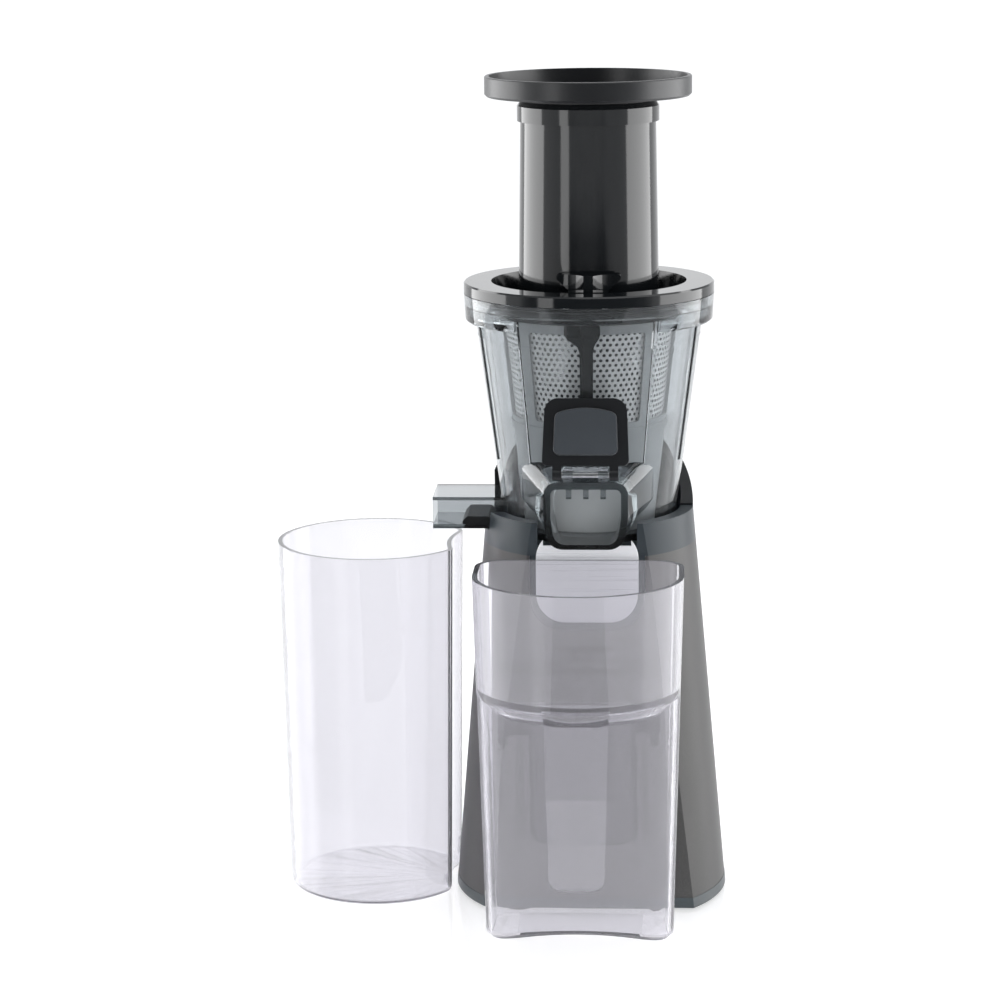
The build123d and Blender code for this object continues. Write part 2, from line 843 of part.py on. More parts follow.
with BuildPart() as juice_bowl:
    # Cone, shoulder and band in one turned shape
    with BuildSketch(Plane.XZ):
        with BuildLine():
            Polyline(
                (0, bowl_bottom_z),
                (bowl_radius(bowl_bottom_z), bowl_bottom_z),
                (bowl_radius(band_bottom_z - 2), band_bottom_z - 2),
                (band_radius_low - 2.4, band_bottom_z),
                (band_radius_low, band_bottom_z + 2.6),
                (band_radius_high, band_top_z),
                (0, band_top_z),
                close=True,
            )
        make_face()
    revolve(axis=Axis.Z)
    # Long ribs between the recessed panels of the cone
    for side in (-1, 1):
        for step in range(4):
            angle = radians(-90 + side * (rib_angle + step * rib_pitch))
            low = Vector(cos(angle), sin(angle), 0) * (bowl_radius(238) - 1.2)
            high = Vector(cos(angle), sin(angle), 0) * (bowl_radius(band_bottom_z - 1) - 1.2)
            low.Z = 238
            high.Z = band_bottom_z - 1
            rib_plane = Plane(origin=low, z_dir=high - low, x_dir=(-sin(angle), cos(angle), 0))
            with BuildSketch(rib_plane):
                RectangleRounded(2.6, 4.2, 0.9)
            extrude(amount=(high - low).length)
    # Spout housing, from a wide root on the cone to the mouth
    root_plane = Plane(origin=(0, spout_root_y, 0), x_dir=(1, 0, 0), z_dir=(0, -1, 0))
    mouth_plane = Plane(
        origin=(0, mouth_plane_top_y, mouth_top_z),
        x_dir=(1, 0, 0),
        z_dir=(0, -cos(radians(mouth_tilt)), sin(radians(mouth_tilt))),
    )
    mouth_drop = (mouth_top_z - mouth_bottom_z) / cos(radians(mouth_tilt))
    outer_root = mouth_section(root_plane, 18, 34, bowl_bottom_z, 244, 2, 9)
    outer_mouth = mouth_section(
        mouth_plane, mouth_half_width - 2, mouth_half_width, -mouth_drop, 0, 9, 6
    )
    loft(sections=[outer_root, outer_mouth], ruled=True)
    # Chute towards the pulp container
    with Locations((chute_end_x, 0, chute_bottom_z)):
        Box(
            -chute_end_x - 20,
            2 * chute_half_width,
            chute_top_z - chute_bottom_z,
            align=(Align.MIN, Align.CENTER, Align.MIN),
        )
    # Inside of the bowl
    with BuildSketch(Plane.XZ):
        with BuildLine():
            Polyline(
                (0, bowl_floor_z),
                (bowl_radius(bowl_floor_z) - bowl_wall, bowl_floor_z),
                (bowl_radius(band_bottom_z) - bowl_wall, band_bottom_z),
                (band_radius_low - band_wall, band_bottom_z + 3),
                (band_radius_high - band_wall, band_top_z),
                (0, band_top_z),
                close=True,
            )
        make_face()
    revolve(axis=Axis.Z, mode=Mode.SUBTRACT)
    # Juice channel through the spout
    inner_root = mouth_section(root_plane, 15, 17, bowl_floor_z + 1.5, 226, 2, 4)
    inner_width = mouth_half_width - mouth_wall
    inner_mouth = mouth_section(
        mouth_plane.offset(1), inner_width - 2, inner_width, 2.4 - mouth_drop, -3.3, 6.5, 3
    )
    loft(sections=[inner_root, inner_mouth], ruled=True, mode=Mode.SUBTRACT)
    # Pulp channel through the chute
    with Locations((chute_end_x - 1, 0, chute_bottom_z + chute_wall)):
        Box(
            -chute_end_x - 34,
            2 * (chute_half_width - chute_wall),
            chute_top_z - chute_bottom_z - 2 * chute_wall,
            align=(Align.MIN, Align.CENTER, Align.MIN),
            mode=Mode.SUBTRACT,
        )
    # Boss round the drive shaft
    with BuildSketch(Plane.XY.offset(bowl_bottom_z)):
        Circle(boss_radius)
    extrude(amount=boss_top_z - bowl_bottom_z)
    with BuildSketch(Plane.XY.offset(bowl_bottom_z)):
        Circle(boss_bore)
    extrude(amount=boss_top_z - bowl_bottom_z, mode=Mode.SUBTRACT)
    # Hinge lugs on the spout
    lug_plane = Plane(origin=(0, 0, 0), x_dir=(0, 1, 0), z_dir=(1, 0, 0))
    for lug_x in (-11.4, 6.4):
        with BuildSketch(lug_plane.offset(lug_x)):
            with Locations((hinge_y, hinge_z)):
                Circle(3.2)
            with BuildLine():
                Polyline(
                    (hinge_y - 3.2, hinge_z),
                    (hinge_y + 3.2, hinge_z),
                    (hinge_y + 6.0, mouth_top_z - 1),
                    (hinge_y + 2.9, mouth_top_z - 1),
                    close=True,
                )
            make_face()
        extrude(amount=5.0)
    with BuildSketch(lug_plane.offset(-12)):
        with Locations((hinge_y, hinge_z)):
            Circle(pin_radius + running_gap)
    extrude(amount=24, mode=Mode.SUBTRACT)
    # Index marks of the lid's lock on the band
    for mark_x in (-10.4, 10.4):
        with Locations((mark_x, -sqrt(band_radius_low**2 - mark_x**2) + 1.0, 313.5)):
            Box(1.8, 3.4, 6.5)
pieces["juice_bowl"] = juice_bowl

with BuildPart() as bowl_gasket:
    add(ring(boss_bore, boss_radius, boss_top_z, boss_top_z + 1.6))
pieces["bowl_gasket"] = bowl_gasket

with BuildPart() as pulp_plug:
    with Locations((chute_end_x + 15.5, 0, chute_bottom_z + chute_wall)):
        Box(
            16,
            2 * (chute_half_width - chute_wall),
            4.2,
            align=(Align.MIN, Align.CENTER, Align.MIN),
        )
    chamfer(pulp_plug.edges().filter_by(Axis.Y).group_by(Axis.Z)[-1], 2.5)
pieces["pulp_plug"] = pulp_plug

# ---------------------------------------------------------------- strainer and auger


def turned_wall(z_low, z_high, outside, inside):
    """A thin turned wall between two radius functions."""
    with BuildPart() as wall:
        with BuildSketch(Plane.XZ):
            with BuildLine():
                Polyline(
                    (inside(z_low), z_low),
                    (outside(z_low), z_low),
                    (outside(z_high), z_high),
                    (inside(z_high), z_high),
                    close=True,
                )
            make_face()
        revolve(axis=Axis.Z)
    return wall.part


def strainer_inner(z):
    return strainer_radius(z) - strainer_wall


def mesh_inner(z):
    return strainer_inner(z) - mesh_thickness


strainer_bottom_z = bowl_floor_z
window_half_angle = 360 / window_count / 2 - 4.5

with BuildPart() as strainer_frame:
    add(turned_wall(strainer_bottom_z, strainer_top_z, strainer_radius, strainer_inner))
    add(
        turned_wall(
            strainer_top_z - 5,
            strainer_top_z,
            lambda z: strainer_radius(z) + 1.6,
            strainer_inner,
        )
    )
    add(
        turned_wall(
            window_bottom_z - 7,
            window_bottom_z - 3,
            lambda z: strainer_radius(z) + 0.8,
            strainer_inner,
        )
    )
    # Windows between the upright ribs, one rib facing the front
    for window in range(window_count):
        turn = -90 + (window + 0.5) * 360 / window_count
        across = 2 * strainer_radius(window_bottom_z) * sin(radians(window_half_angle))
        across_top = 2 * strainer_radius(window_top_z) * sin(radians(window_half_angle))
        window_plane = Plane.XZ.rotated((0, 0, turn + 90))
        with BuildSketch(window_plane.offset(20)) as window_outline:
            with BuildLine():
                Polyline(
                    (-across / 2, window_bottom_z),
                    (across / 2, window_bottom_z),
                    (across_top / 2, window_top_z),
                    (-across_top / 2, window_top_z),
                    close=True,
                )
            make_face()
            fillet(window_outline.vertices(), 2)
        extrude(amount=40, mode=Mode.SUBTRACT)
    # Outlet of the pressed pulp, in front of the chute
    with Locations((-20, 0, chute_bottom_z + chute_wall + 4)):
        Box(
            30,
            2 * (chute_half_width - chute_wall - 4),
            8,
            align=(Align.MAX, Align.CENTER, Align.MIN),
            mode=Mode.SUBTRACT,
        )
pieces["strainer_frame"] = strainer_frame

with BuildPart() as strainer_mesh:
    add(turned_wall(window_bottom_z - 3, window_top_z + 2, strainer_inner, mesh_inner))
pieces["strainer_mesh"] = strainer_mesh

auger_gap = 0.9
flight_thickness = 4.2
auger_core_low = 27.0
auger_core_high = 9.0

flight_section = Sketch() + [
    Pos(X=25) * Rectangle(50, flight_thickness),
]
for start in range(1, auger_starts):
    flight_section += Rot(Z=start * 360 / auger_starts) * (
        Pos(X=25) * Rectangle(50, flight_thickness)
    )
flight_section += Circle(6)
flights = Solid.extrude_linear_with_rotation(
    (Pos(Z=auger_bottom_z + 9) * flight_section).faces()[0],
    center=(0, 0, auger_bottom_z + 9),
    normal=(0, 0, auger_top_z - auger_bottom_z - 9),
    angle=auger_twist,
)

with BuildPart() as auger:
    add(flights)
    # Everything outside the strainer's inner cone is trimmed off
    with BuildSketch(Plane.XZ):
        with BuildLine():
            Polyline(
                (0, auger_bottom_z),
                (mesh_inner(auger_bottom_z) - auger_gap, auger_bottom_z),
                (mesh_inner(auger_top_z - 14) - auger_gap, auger_top_z - 14),
                (30, auger_top_z),
                (0, auger_top_z),
                close=True,
            )
        make_face()
    revolve(axis=Axis.Z, mode=Mode.INTERSECT)
    # Tapered core and the closed skirt at its foot
    with BuildSketch(Plane.XZ):
        with BuildLine():
            Polyline(
                (0, auger_bottom_z),
                (mesh_inner(auger_bottom_z) - auger_gap, auger_bottom_z),
                (mesh_inner(auger_bottom_z) - auger_gap, auger_bottom_z + 9),
                (auger_core_low, auger_bottom_z + 13),
                (auger_core_high, auger_top_z - 6),
                (auger_core_high - 4, auger_top_z),
                (0, auger_top_z),
                close=True,
            )
        make_face()
    revolve(axis=Axis.Z)
    # Pocket over the bowl's boss and the hexagonal socket of the drive shaft
    with BuildSketch(Plane.XY.offset(auger_bottom_z)):
        Circle(boss_radius + 1.2)
    extrude(amount=boss_top_z + 3 - auger_bottom_z, mode=Mode.SUBTRACT)
    with BuildSketch(Plane.XY.offset(auger_bottom_z)):
        RegularPolygon(hex_across_flats / 2 + 0.15, 6, major_radius=False)
    extrude(amount=hex_top_z + 2 - auger_bottom_z, mode=Mode.SUBTRACT)
pieces["auger"] = auger

# ---------------------------------------------------------------- lid and tray

skirt_radius = 60.3
skirt_bottom_z = 310.5
seal_radius = skirt_radius + 1.1

with BuildPart() as lid:
    with BuildSketch(Plane.XZ):
        with BuildLine():
            Polyline(
                (tube_bore_radius + 1.2, recess_floor_z - 3),
                (44.5, recess_floor_z - 3),
                (44.5, strainer_top_z + 0.4),
                (46.5, strainer_top_z + 0.4),
                (46.5, recess_floor_z - 3),
                (recess_radius - 1.5, recess_floor_z - 3),
                (recess_radius + 2, lid_bottom_z - 1),
                (skirt_radius - 2.4, lid_bottom_z - 1),
                (skirt_radius - 2.4, skirt_bottom_z),
                (skirt_radius, skirt_bottom_z),
                (skirt_radius, lid_bottom_z),
                (lid_radius, lid_bottom_z),
                (lid_radius, lid_top_z - 0.8),
                (lid_radius - 0.8, lid_top_z),
                (recess_radius, lid_top_z),
                (recess_radius - 1.8, recess_floor_z),
                (tube_radius_low, recess_floor_z),
                (tube_radius_high, tube_rim_bottom_z),
                (tube_rim_radius, tube_rim_bottom_z),
                (tube_rim_radius, tube_top_z - 2.4),
                (tube_rim_radius - 1.6, tube_top_z),
                (tube_bore_radius, tube_top_z),
                close=True,
            )
        make_face()
    revolve(axis=Axis.Z)
    # Groove of the seal
    with BuildSketch(Plane.XY.offset(skirt_bottom_z + 3)):
        Circle(skirt_radius + 1)
        Circle(skirt_radius - 0.8, mode=Mode.SUBTRACT)
    extrude(amount=3, mode=Mode.SUBTRACT)
    # Arched thumb bridge between the feed tube and the rim, at the front
    with BuildSketch(Plane.XZ.offset(34.5)) as bridge:
        with BuildLine():
            Polyline(
                (-13, recess_floor_z - 2),
                (13, recess_floor_z - 2),
                (17, lid_top_z + 8.5),
                (-17, lid_top_z + 8.5),
                close=True,
            )
        make_face()
        fillet(bridge.vertices().group_by(Axis.Y)[-1], 4.5)
    extrude(amount=17)
pieces["lid"] = lid

with BuildPart() as lid_seal:
    add(ring(skirt_radius - 0.8, seal_radius, skirt_bottom_z + 3, skirt_bottom_z + 6))
pieces["lid_seal"] = lid_seal

with BuildPart() as hopper_tray:
    with BuildSketch(Plane.XZ):
        with BuildLine():
            Polyline(
                (tray_neck_radius - tray_wall, tray_bottom_z - 14),
                (tray_neck_radius, tray_bottom_z - 14),
                (tray_neck_radius, tube_top_z + 0.3),
                (tray_neck_radius + 3, tube_top_z + 0.3),
                (tray_neck_radius + 4, tray_bottom_z),
                (tray_radius - 1.2, tray_bottom_z),
                (tray_radius, tray_bottom_z + 1.2),
                (tray_radius, tray_top_z - 0.5),
                (tray_radius - 0.5, tray_top_z),
                (tray_radius - tray_wall, tray_top_z),
                (tray_radius - tray_wall - 1, tray_bottom_z + tray_wall + 1),
                (tray_neck_radius, tray_bottom_z + tray_wall),
                (tray_neck_radius - tray_wall, tray_bottom_z + tray_wall - 2),
                close=True,
            )
        make_face()
    revolve(axis=Axis.Z)
pieces["hopper_tray"] = hopper_tray

# ---------------------------------------------------------------- outlet flap

lean = radians(flap_open_lean)
flap_plane = Plane(
    origin=(0, hinge_y, hinge_z),
    x_dir=(1, 0, 0),
    z_dir=(0, -cos(lean), sin(lean)),
)
plate_start = 4.6
plug_start = 9.8
plug_end = 34.2
plug_half_width = 16.6
plug_height = 2.4

with BuildPart() as flap_frame:
    # In this plane y runs from the hinge to the flap's free end
    with BuildSketch(flap_plane.offset(-flap_thickness / 2)) as flap_outline:
        with BuildLine():
            Polyline(
                (-flap_half_width - 0.8, plate_start),
                (flap_half_width + 0.8, plate_start),
                (flap_half_width - 0.6, flap_length),
                (-flap_half_width + 0.6, flap_length),
                close=True,
            )
        make_face()
        fillet(flap_outline.vertices().group_by(Axis.Y)[-1], 7)
        fillet(flap_outline.vertices().group_by(Axis.Y)[0], 3)
        with Locations((-14.4, 2.5), (14.4, 2.5)):
            Rectangle(4.6, 6)
    extrude(amount=flap_thickness)
    # Knuckles on the pin
    for knuckle_x in (-16.7, 12.1):
        with BuildSketch(lug_plane.offset(knuckle_x)):
            with Locations((hinge_y, hinge_z)):
                Circle(2.9)
        extrude(amount=4.6)
    with BuildSketch(lug_plane.offset(-18)):
        with Locations((hinge_y, hinge_z)):
            Circle(pin_radius)
    extrude(amount=36, mode=Mode.SUBTRACT)
pieces["flap_frame"] = flap_frame

with BuildPart() as flap_plug:
    with BuildSketch(flap_plane.offset(flap_thickness / 2)) as plug_outline:
        with BuildLine():
            Line((-plug_half_width, plug_start), (plug_half_width, plug_start))
            Line((plug_half_width, plug_start), (plug_half_width - 0.8, plug_end - 3))
            ThreePointArc(
                (plug_half_width - 0.8, plug_end - 3),
                (0, plug_end),
                (-plug_half_width + 0.8, plug_end - 3),
            )
            Line((-plug_half_width + 0.8, plug_end - 3), (-plug_half_width, plug_start))
        make_face()
        fillet(plug_outline.vertices(), 3.5)
    extrude(amount=plug_height, taper=12)
pieces["flap_plug"] = flap_plug

with BuildPart() as flap_pin:
    with BuildSketch(lug_plane.offset(-16.5)):
        with Locations((hinge_y, hinge_z)):
            Circle(pin_radius)
    extrude(amount=33)
pieces["flap_pin"] = flap_pin

# ---------------------------------------------------------------- jug and container


def jug_outline(inset, z, front):
    """Plan of the jug at a height: flat back, and a front that bulges or is nearly flat."""
    inset += (jug_height - z) * tan(radians(jug_draft))
    side = jug_half_width - inset
    back = jug_back_y - inset
    corner = 15 - inset
    with BuildSketch(Plane.XY.offset(z)) as outline:
        with BuildLine():
            if front == "bulged":
                shoulder_y = jug_back_y - 36
                Polyline((side, shoulder_y), (side, back), (-side, back), (-side, shoulder_y))
                EllipticalCenterArc(
                    (0, shoulder_y),
                    side,
                    shoulder_y - jug_front_y - inset,
                    start_angle=180,
                    arc_size=180,
                )
            else:
                front_y = grip_y + inset - jug_height * tan(radians(jug_draft))
                Polyline((side, front_y), (side, back), (-side, back), (-side, front_y))
                ThreePointArc((-side, front_y), (0, front_y + grip_hollow), (side, front_y))
        make_face()
        fillet(outline.vertices().group_by(Axis.Y)[-1], corner)
        if front == "flat":
            fillet(outline.vertices().group_by(Axis.Y)[0], corner)
    return outline.sketch.moved(Location((jug_x, 0, 0)))


def jug_solid(inset, z_low):
    """The jug's outside or inside: a body with a flat front and the bulge above the grip."""
    bulge_z = grip_top_z - bulge_rise + 1.4 * inset
    flat_low = jug_outline(inset, z_low, "flat")
    flat_high = jug_outline(inset, jug_height, "flat")
    bulge_foot = jug_outline(inset + bulge_rise, bulge_z, "bulged")
    bulge_low = jug_outline(inset, bulge_z + bulge_rise, "bulged")
    bulge_high = jug_outline(inset, jug_height, "bulged")
    with BuildPart() as block:
        loft(sections=[flat_low, flat_high], ruled=True)
        loft(sections=[bulge_foot, bulge_low], ruled=True)
        loft(sections=[bulge_low, bulge_high], ruled=True)
    return block.part


with BuildPart() as juice_jug:
    add(jug_solid(0, 0))
    chamfer(juice_jug.edges().group_by(Axis.Z)[0], 2.5)
    add(jug_solid(jug_wall, 3.2), mode=Mode.SUBTRACT)
    # Hanging strip handle in front of the recess
    with BuildSketch(Plane.XZ.offset(121)) as strip:
        with BuildLine():
            Polyline(
                (jug_x - handle_half_width + 2.4, handle_bottom_z),
                (jug_x + handle_half_width - 2.4, handle_bottom_z),
                (jug_x + handle_half_width, grip_top_z + 1),
                (jug_x - handle_half_width, grip_top_z + 1),
                close=True,
            )
        make_face()
        fillet(strip.vertices().group_by(Axis.Y)[0], 6)
    extrude(amount=4.2)
    # Shallow arch under the floor, so that the jug stands on its corners
    with BuildSketch(Plane.XZ.offset(40)):
        with BuildLine():
            Line((jug_x - 32, 0), (jug_x + 32, 0))
            ThreePointArc((jug_x + 32, 0), (jug_x, 1.2), (jug_x - 32, 0))
        make_face()
    extrude(amount=70, mode=Mode.SUBTRACT)
pieces["juice_jug"] = juice_jug


def container_outline(inset, z):
    """Plan of the pulp container at a height, with the hollow that hugs the tower."""
    inset += (container_height - z) * tan(radians(container_draft))
    with BuildSketch(Plane.XY.offset(z)) as plan:
        with Locations((container_x, container_y)):
            Circle(container_radius - inset)
        Circle(container_notch_radius + inset, mode=Mode.SUBTRACT)
        fillet(plan.vertices(), 9 - inset)
    return plan.sketch


def container_solid(inset, z_low):
    """The pulp container's outside or inside."""
    low = container_outline(inset, z_low)
    high = container_outline(inset, container_height)
    with BuildPart() as block:
        loft(sections=[low, high], ruled=True)
    return block.part


with BuildPart() as pulp_container:
    add(container_solid(0, 0))
    fillet(pulp_container.edges().group_by(Axis.Z)[0], 4)
    add(container_solid(container_wall, 3.0), mode=Mode.SUBTRACT)
pieces["pulp_container"] = pulp_container

# ---------------------------------------------------------------- export

made_parts = {name: piece.part for name, piece in pieces.items()}
made_parts["base_screws"] = base_screws_part
made_parts["gearbox_screws"] = screws(gearbox_screw_places, gear_plate_top_z + 3, gear_plate_z)
made_parts["plate_screws"] = screws(leg_places, gear_plate_top_z, gear_plate_z - 16)
made_parts["deck_screws"] = screws(standoff_places, deck_top_z - 2.6, deck_bottom_z - 12)
made_parts["motor_screws"] = screws(
    [(place.position.X, place.position.Y) for place in PolarLocations(20, 4, start_angle=45)],
    gear_plate_top_z,
    gear_plate_z - 3,
    1.2,
)
made_parts["motor_pinion"] = motor_pinion_part
made_parts["layshaft_wheel"] = layshaft_wheel_part
made_parts["layshaft_pinion"] = layshaft_pinion_part
made_parts["output_gear"] = output_gear_part

# The origin lies on the floor in the middle of the footprint
boxes = [part.bounding_box() for part in made_parts.values()]
middle_x = (min(box.min.X for box in boxes) + max(box.max.X for box in boxes)) / 2
middle_y = (min(box.min.Y for box in boxes) + max(box.max.Y for box in boxes)) / 2
to_origin = Location((-middle_x, -middle_y, 0))

for name, part in made_parts.items():
    placed = part.moved(to_origin)
    placed.label = name
    export_step(placed, f"parts/{name}.step")

print("origin shift", round(-middle_x, 3), round(-middle_y, 3), "pieces", len(made_parts))
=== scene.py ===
import json
from math import cos, pi, radians, sin, tan

import bmesh
import bpy
from mathutils import Matrix, Vector


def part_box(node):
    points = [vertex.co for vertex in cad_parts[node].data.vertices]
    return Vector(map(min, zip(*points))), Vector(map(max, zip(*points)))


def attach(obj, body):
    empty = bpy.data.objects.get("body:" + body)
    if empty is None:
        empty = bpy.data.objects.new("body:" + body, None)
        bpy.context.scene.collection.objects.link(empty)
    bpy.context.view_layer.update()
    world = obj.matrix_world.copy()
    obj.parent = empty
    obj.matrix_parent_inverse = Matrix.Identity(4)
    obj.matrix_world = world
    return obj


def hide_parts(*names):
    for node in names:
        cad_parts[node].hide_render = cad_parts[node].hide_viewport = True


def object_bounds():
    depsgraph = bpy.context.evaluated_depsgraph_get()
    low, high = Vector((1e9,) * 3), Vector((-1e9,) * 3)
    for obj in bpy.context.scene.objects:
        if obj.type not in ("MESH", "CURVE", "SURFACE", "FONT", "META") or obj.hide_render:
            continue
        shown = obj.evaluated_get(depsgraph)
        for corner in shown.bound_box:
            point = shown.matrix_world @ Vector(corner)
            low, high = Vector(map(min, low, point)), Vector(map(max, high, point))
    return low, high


# Looks of the cold press juicer, in metres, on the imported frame.

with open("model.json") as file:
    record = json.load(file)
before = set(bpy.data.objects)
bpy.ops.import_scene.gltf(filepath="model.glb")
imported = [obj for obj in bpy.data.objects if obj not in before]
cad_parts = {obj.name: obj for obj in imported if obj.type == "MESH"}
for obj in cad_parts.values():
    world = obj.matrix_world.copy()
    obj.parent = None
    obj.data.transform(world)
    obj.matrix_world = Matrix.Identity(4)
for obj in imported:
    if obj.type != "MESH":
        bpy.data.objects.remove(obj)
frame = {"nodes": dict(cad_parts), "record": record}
cad_low, cad_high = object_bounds()
nodes = frame["nodes"]
mm = 0.001

# ---------------------------------------------------------------- places from the frame


def middle(node):
    """Middle of a node's box."""
    low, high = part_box(node)
    return (low + high) / 2


mesh_low, mesh_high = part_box("strainer_mesh")
TOWER = Vector((middle("strainer_mesh").x, middle("strainer_mesh").y, 0))  # foot of its axis
OBJECT_MIDDLE = (cad_low + cad_high) / 2

# ---------------------------------------------------------------- camera, lights and floor

VIEW_AZIMUTH = radians(3.5)  # to the right of the front
VIEW_ELEVATION = radians(12.0)
VIEW_ROLL = radians(0.6)
VIEW_DISTANCE = 1.622
AIM_HEIGHT = 0.2125
AIM_SIDE = 0.0475  # the tower stands this far to the right of the picture's middle
FOCAL_LENGTH_MM = 110.3
SENSOR_MM = 36.0
FLOOR_RADIUS = 25
FLOOR_GLOW = 0.56  # keeps the floor white behind the object
WORLD_STRENGTH = 0.62


def direction(azimuth, elevation):
    """Unit vector from the object towards a place round it, azimuth 0 being the front."""
    return Vector(
        (
            sin(azimuth) * cos(elevation),
            -cos(azimuth) * cos(elevation),
            sin(elevation),
        )
    )


def add_camera():
    """The camera at the photograph's angle, level with a slight roll."""
    back = direction(VIEW_AZIMUTH, VIEW_ELEVATION)
    level_right = Vector((cos(VIEW_AZIMUTH), sin(VIEW_AZIMUTH), 0))
    level_up = back.cross(level_right)
    right = level_right * cos(VIEW_ROLL) - level_up * sin(VIEW_ROLL)
    up = level_up * cos(VIEW_ROLL) + level_right * sin(VIEW_ROLL)
    place = TOWER + Vector((0, 0, AIM_HEIGHT)) + back * VIEW_DISTANCE - right * AIM_SIDE
    data = bpy.data.cameras.new("camera")
    data.lens = FOCAL_LENGTH_MM
    data.sensor_width = SENSOR_MM
    data.clip_start, data.clip_end = 0.05, 80
    camera = bpy.data.objects.new("camera", data)
    bpy.context.scene.collection.objects.link(camera)
    turn = Matrix((right, up, back)).transposed().to_4x4()
    camera.matrix_world = Matrix.Translation(place) @ turn
    bpy.context.scene.camera = camera


def add_softbox(name, azimuth, elevation, distance, width, height, radiance, lights_all=False):
    """A rectangular area light that faces the object, or only shows in its reflections."""
    data = bpy.data.lights.new(name, "AREA")
    data.shape = "RECTANGLE"
    data.size, data.size_y = width, height
    data.energy = 4 * width * height * radiance
    light = bpy.data.objects.new(name, data)
    bpy.context.scene.collection.objects.link(light)
    away = direction(radians(azimuth), radians(elevation))
    light.location = OBJECT_MIDDLE + away * distance
    light.rotation_euler = away.to_track_quat("Z", "Y").to_euler()
    light.visible_diffuse = lights_all
    return light


def add_world():
    """A white studio that is dark only towards the camera."""
    world = bpy.data.worlds.new("studio")
    bpy.context.scene.world = world
    world.use_nodes = True
    tree = world.node_tree
    background = tree.nodes["Background"]
    place = tree.nodes.new("ShaderNodeTexCoord")
    facing = tree.nodes.new("ShaderNodeVectorMath")
    facing.operation = "DOT_PRODUCT"
    facing.inputs[1].default_value = direction(VIEW_AZIMUTH, 0)
    ramp = tree.nodes.new("ShaderNodeValToRGB")
    ramp.color_ramp.elements[0].position = 0.1
    ramp.color_ramp.elements[0].color = (0.95, 0.97, 1.0, 1)
    ramp.color_ramp.elements[1].position = 0.65
    ramp.color_ramp.elements[1].color = (0.05, 0.055, 0.06, 1)
    tree.links.new(place.outputs["Generated"], facing.inputs[0])
    tree.links.new(facing.outputs["Value"], ramp.inputs["Fac"])
    tree.links.new(ramp.outputs["Color"], background.inputs["Color"])
    background.inputs["Strength"].default_value = WORLD_STRENGTH


def add_floor():
    """A large pale floor with a faint sheen."""
    mesh = bpy.data.meshes.new("floor")
    shape = bmesh.new()
    bmesh.ops.create_circle(shape, cap_ends=True, radius=FLOOR_RADIUS, segments=96)
    shape.to_mesh(mesh)
    shape.free()
    floor = bpy.data.objects.new("floor", mesh)
    bpy.context.scene.collection.objects.link(floor)
    material, shader = new_material("floor_white", (0.8, 0.8, 0.805), 0.1)
    shader.inputs["Emission Color"].default_value = (1, 1, 1, 1)
    shader.inputs["Emission Strength"].default_value = FLOOR_GLOW
    mesh.materials.append(material)


def add_flag(name, corners):
    """A black card on the floor before the object, seen only in its reflections."""
    mesh = bpy.data.meshes.new(name)
    shape = bmesh.new()
    shape.faces.new([shape.verts.new((x, y, 2 * mm)) for x, y in corners])
    shape.to_mesh(mesh)
    shape.free()
    flag = bpy.data.objects.new(name, mesh)
    bpy.context.scene.collection.objects.link(flag)
    material, _ = new_material(name, (0.01, 0.01, 0.01), 0.9)
    mesh.materials.append(material)
    flag.visible_camera = flag.visible_diffuse = flag.visible_shadow = False
    flag.visible_transmission = False


# ---------------------------------------------------------------- materials

PLASTIC_IOR = 1.49


def new_material(name, color, roughness, metallic=0.0):
    """A material whose shader holds one colour, roughness and metalness."""
    material = bpy.data.materials.new(name)
    material.use_nodes = True
    shader = material.node_tree.nodes["Principled BSDF"]
    shader.inputs["Base Color"].default_value = (*color, 1)
    shader.inputs["Roughness"].default_value = roughness
    shader.inputs["Metallic"].default_value = metallic
    return material, shader


def pattern(material, kind, stretch, **values):
    """A procedural pattern in the object's own coordinates, in metres times stretch."""
    tree = material.node_tree
    place = tree.nodes.new("ShaderNodeTexCoord")
    size = tree.nodes.new("ShaderNodeMapping")
    size.inputs["Scale"].default_value = stretch
    made = tree.nodes.new(kind)
    for name, value in values.items():
        made.inputs[name].default_value = value
    tree.links.new(place.outputs["Object"], size.inputs["Vector"])
    tree.links.new(size.outputs["Vector"], made.inputs["Vector"])
    return made


def vary_color(material, shader, source, low, high):
    """Base colour that runs between two tones with a pattern."""
    tree = material.node_tree
    ramp = tree.nodes.new("ShaderNodeValToRGB")
    ramp.color_ramp.elements[0].position = 0.3
    ramp.color_ramp.elements[0].color = (*low, 1)
    ramp.color_ramp.elements[1].position = 0.7
    ramp.color_ramp.elements[1].color = (*high, 1)
    tree.links.new(source.outputs[0], ramp.inputs["Fac"])
    tree.links.new(ramp.outputs["Color"], shader.inputs["Base Color"])


def vary_roughness(material, shader, source, low, high):
    """Roughness that runs between two values with a pattern."""
    tree = material.node_tree
    reach = tree.nodes.new("ShaderNodeMapRange")
    reach.inputs["To Min"].default_value = low
    reach.inputs["To Max"].default_value = high
    tree.links.new(source.outputs[0], reach.inputs["Value"])
    tree.links.new(reach.outputs["Result"], shader.inputs["Roughness"])


def bump(material, shader, source, height, strength=1.0):
    """Small relief from a pattern, its height in metres."""
    tree = material.node_tree
    relief = tree.nodes.new("ShaderNodeBump")
    relief.inputs["Distance"].default_value = height
    relief.inputs["Strength"].default_value = strength
    tree.links.new(source.outputs[0], relief.inputs["Height"])
    tree.links.new(relief.outputs["Normal"], shader.inputs["Normal"])


def scaled(color, factor):
    """A colour made darker or lighter, kept within white."""
    return tuple(min(1.0, channel * factor) for channel in color)


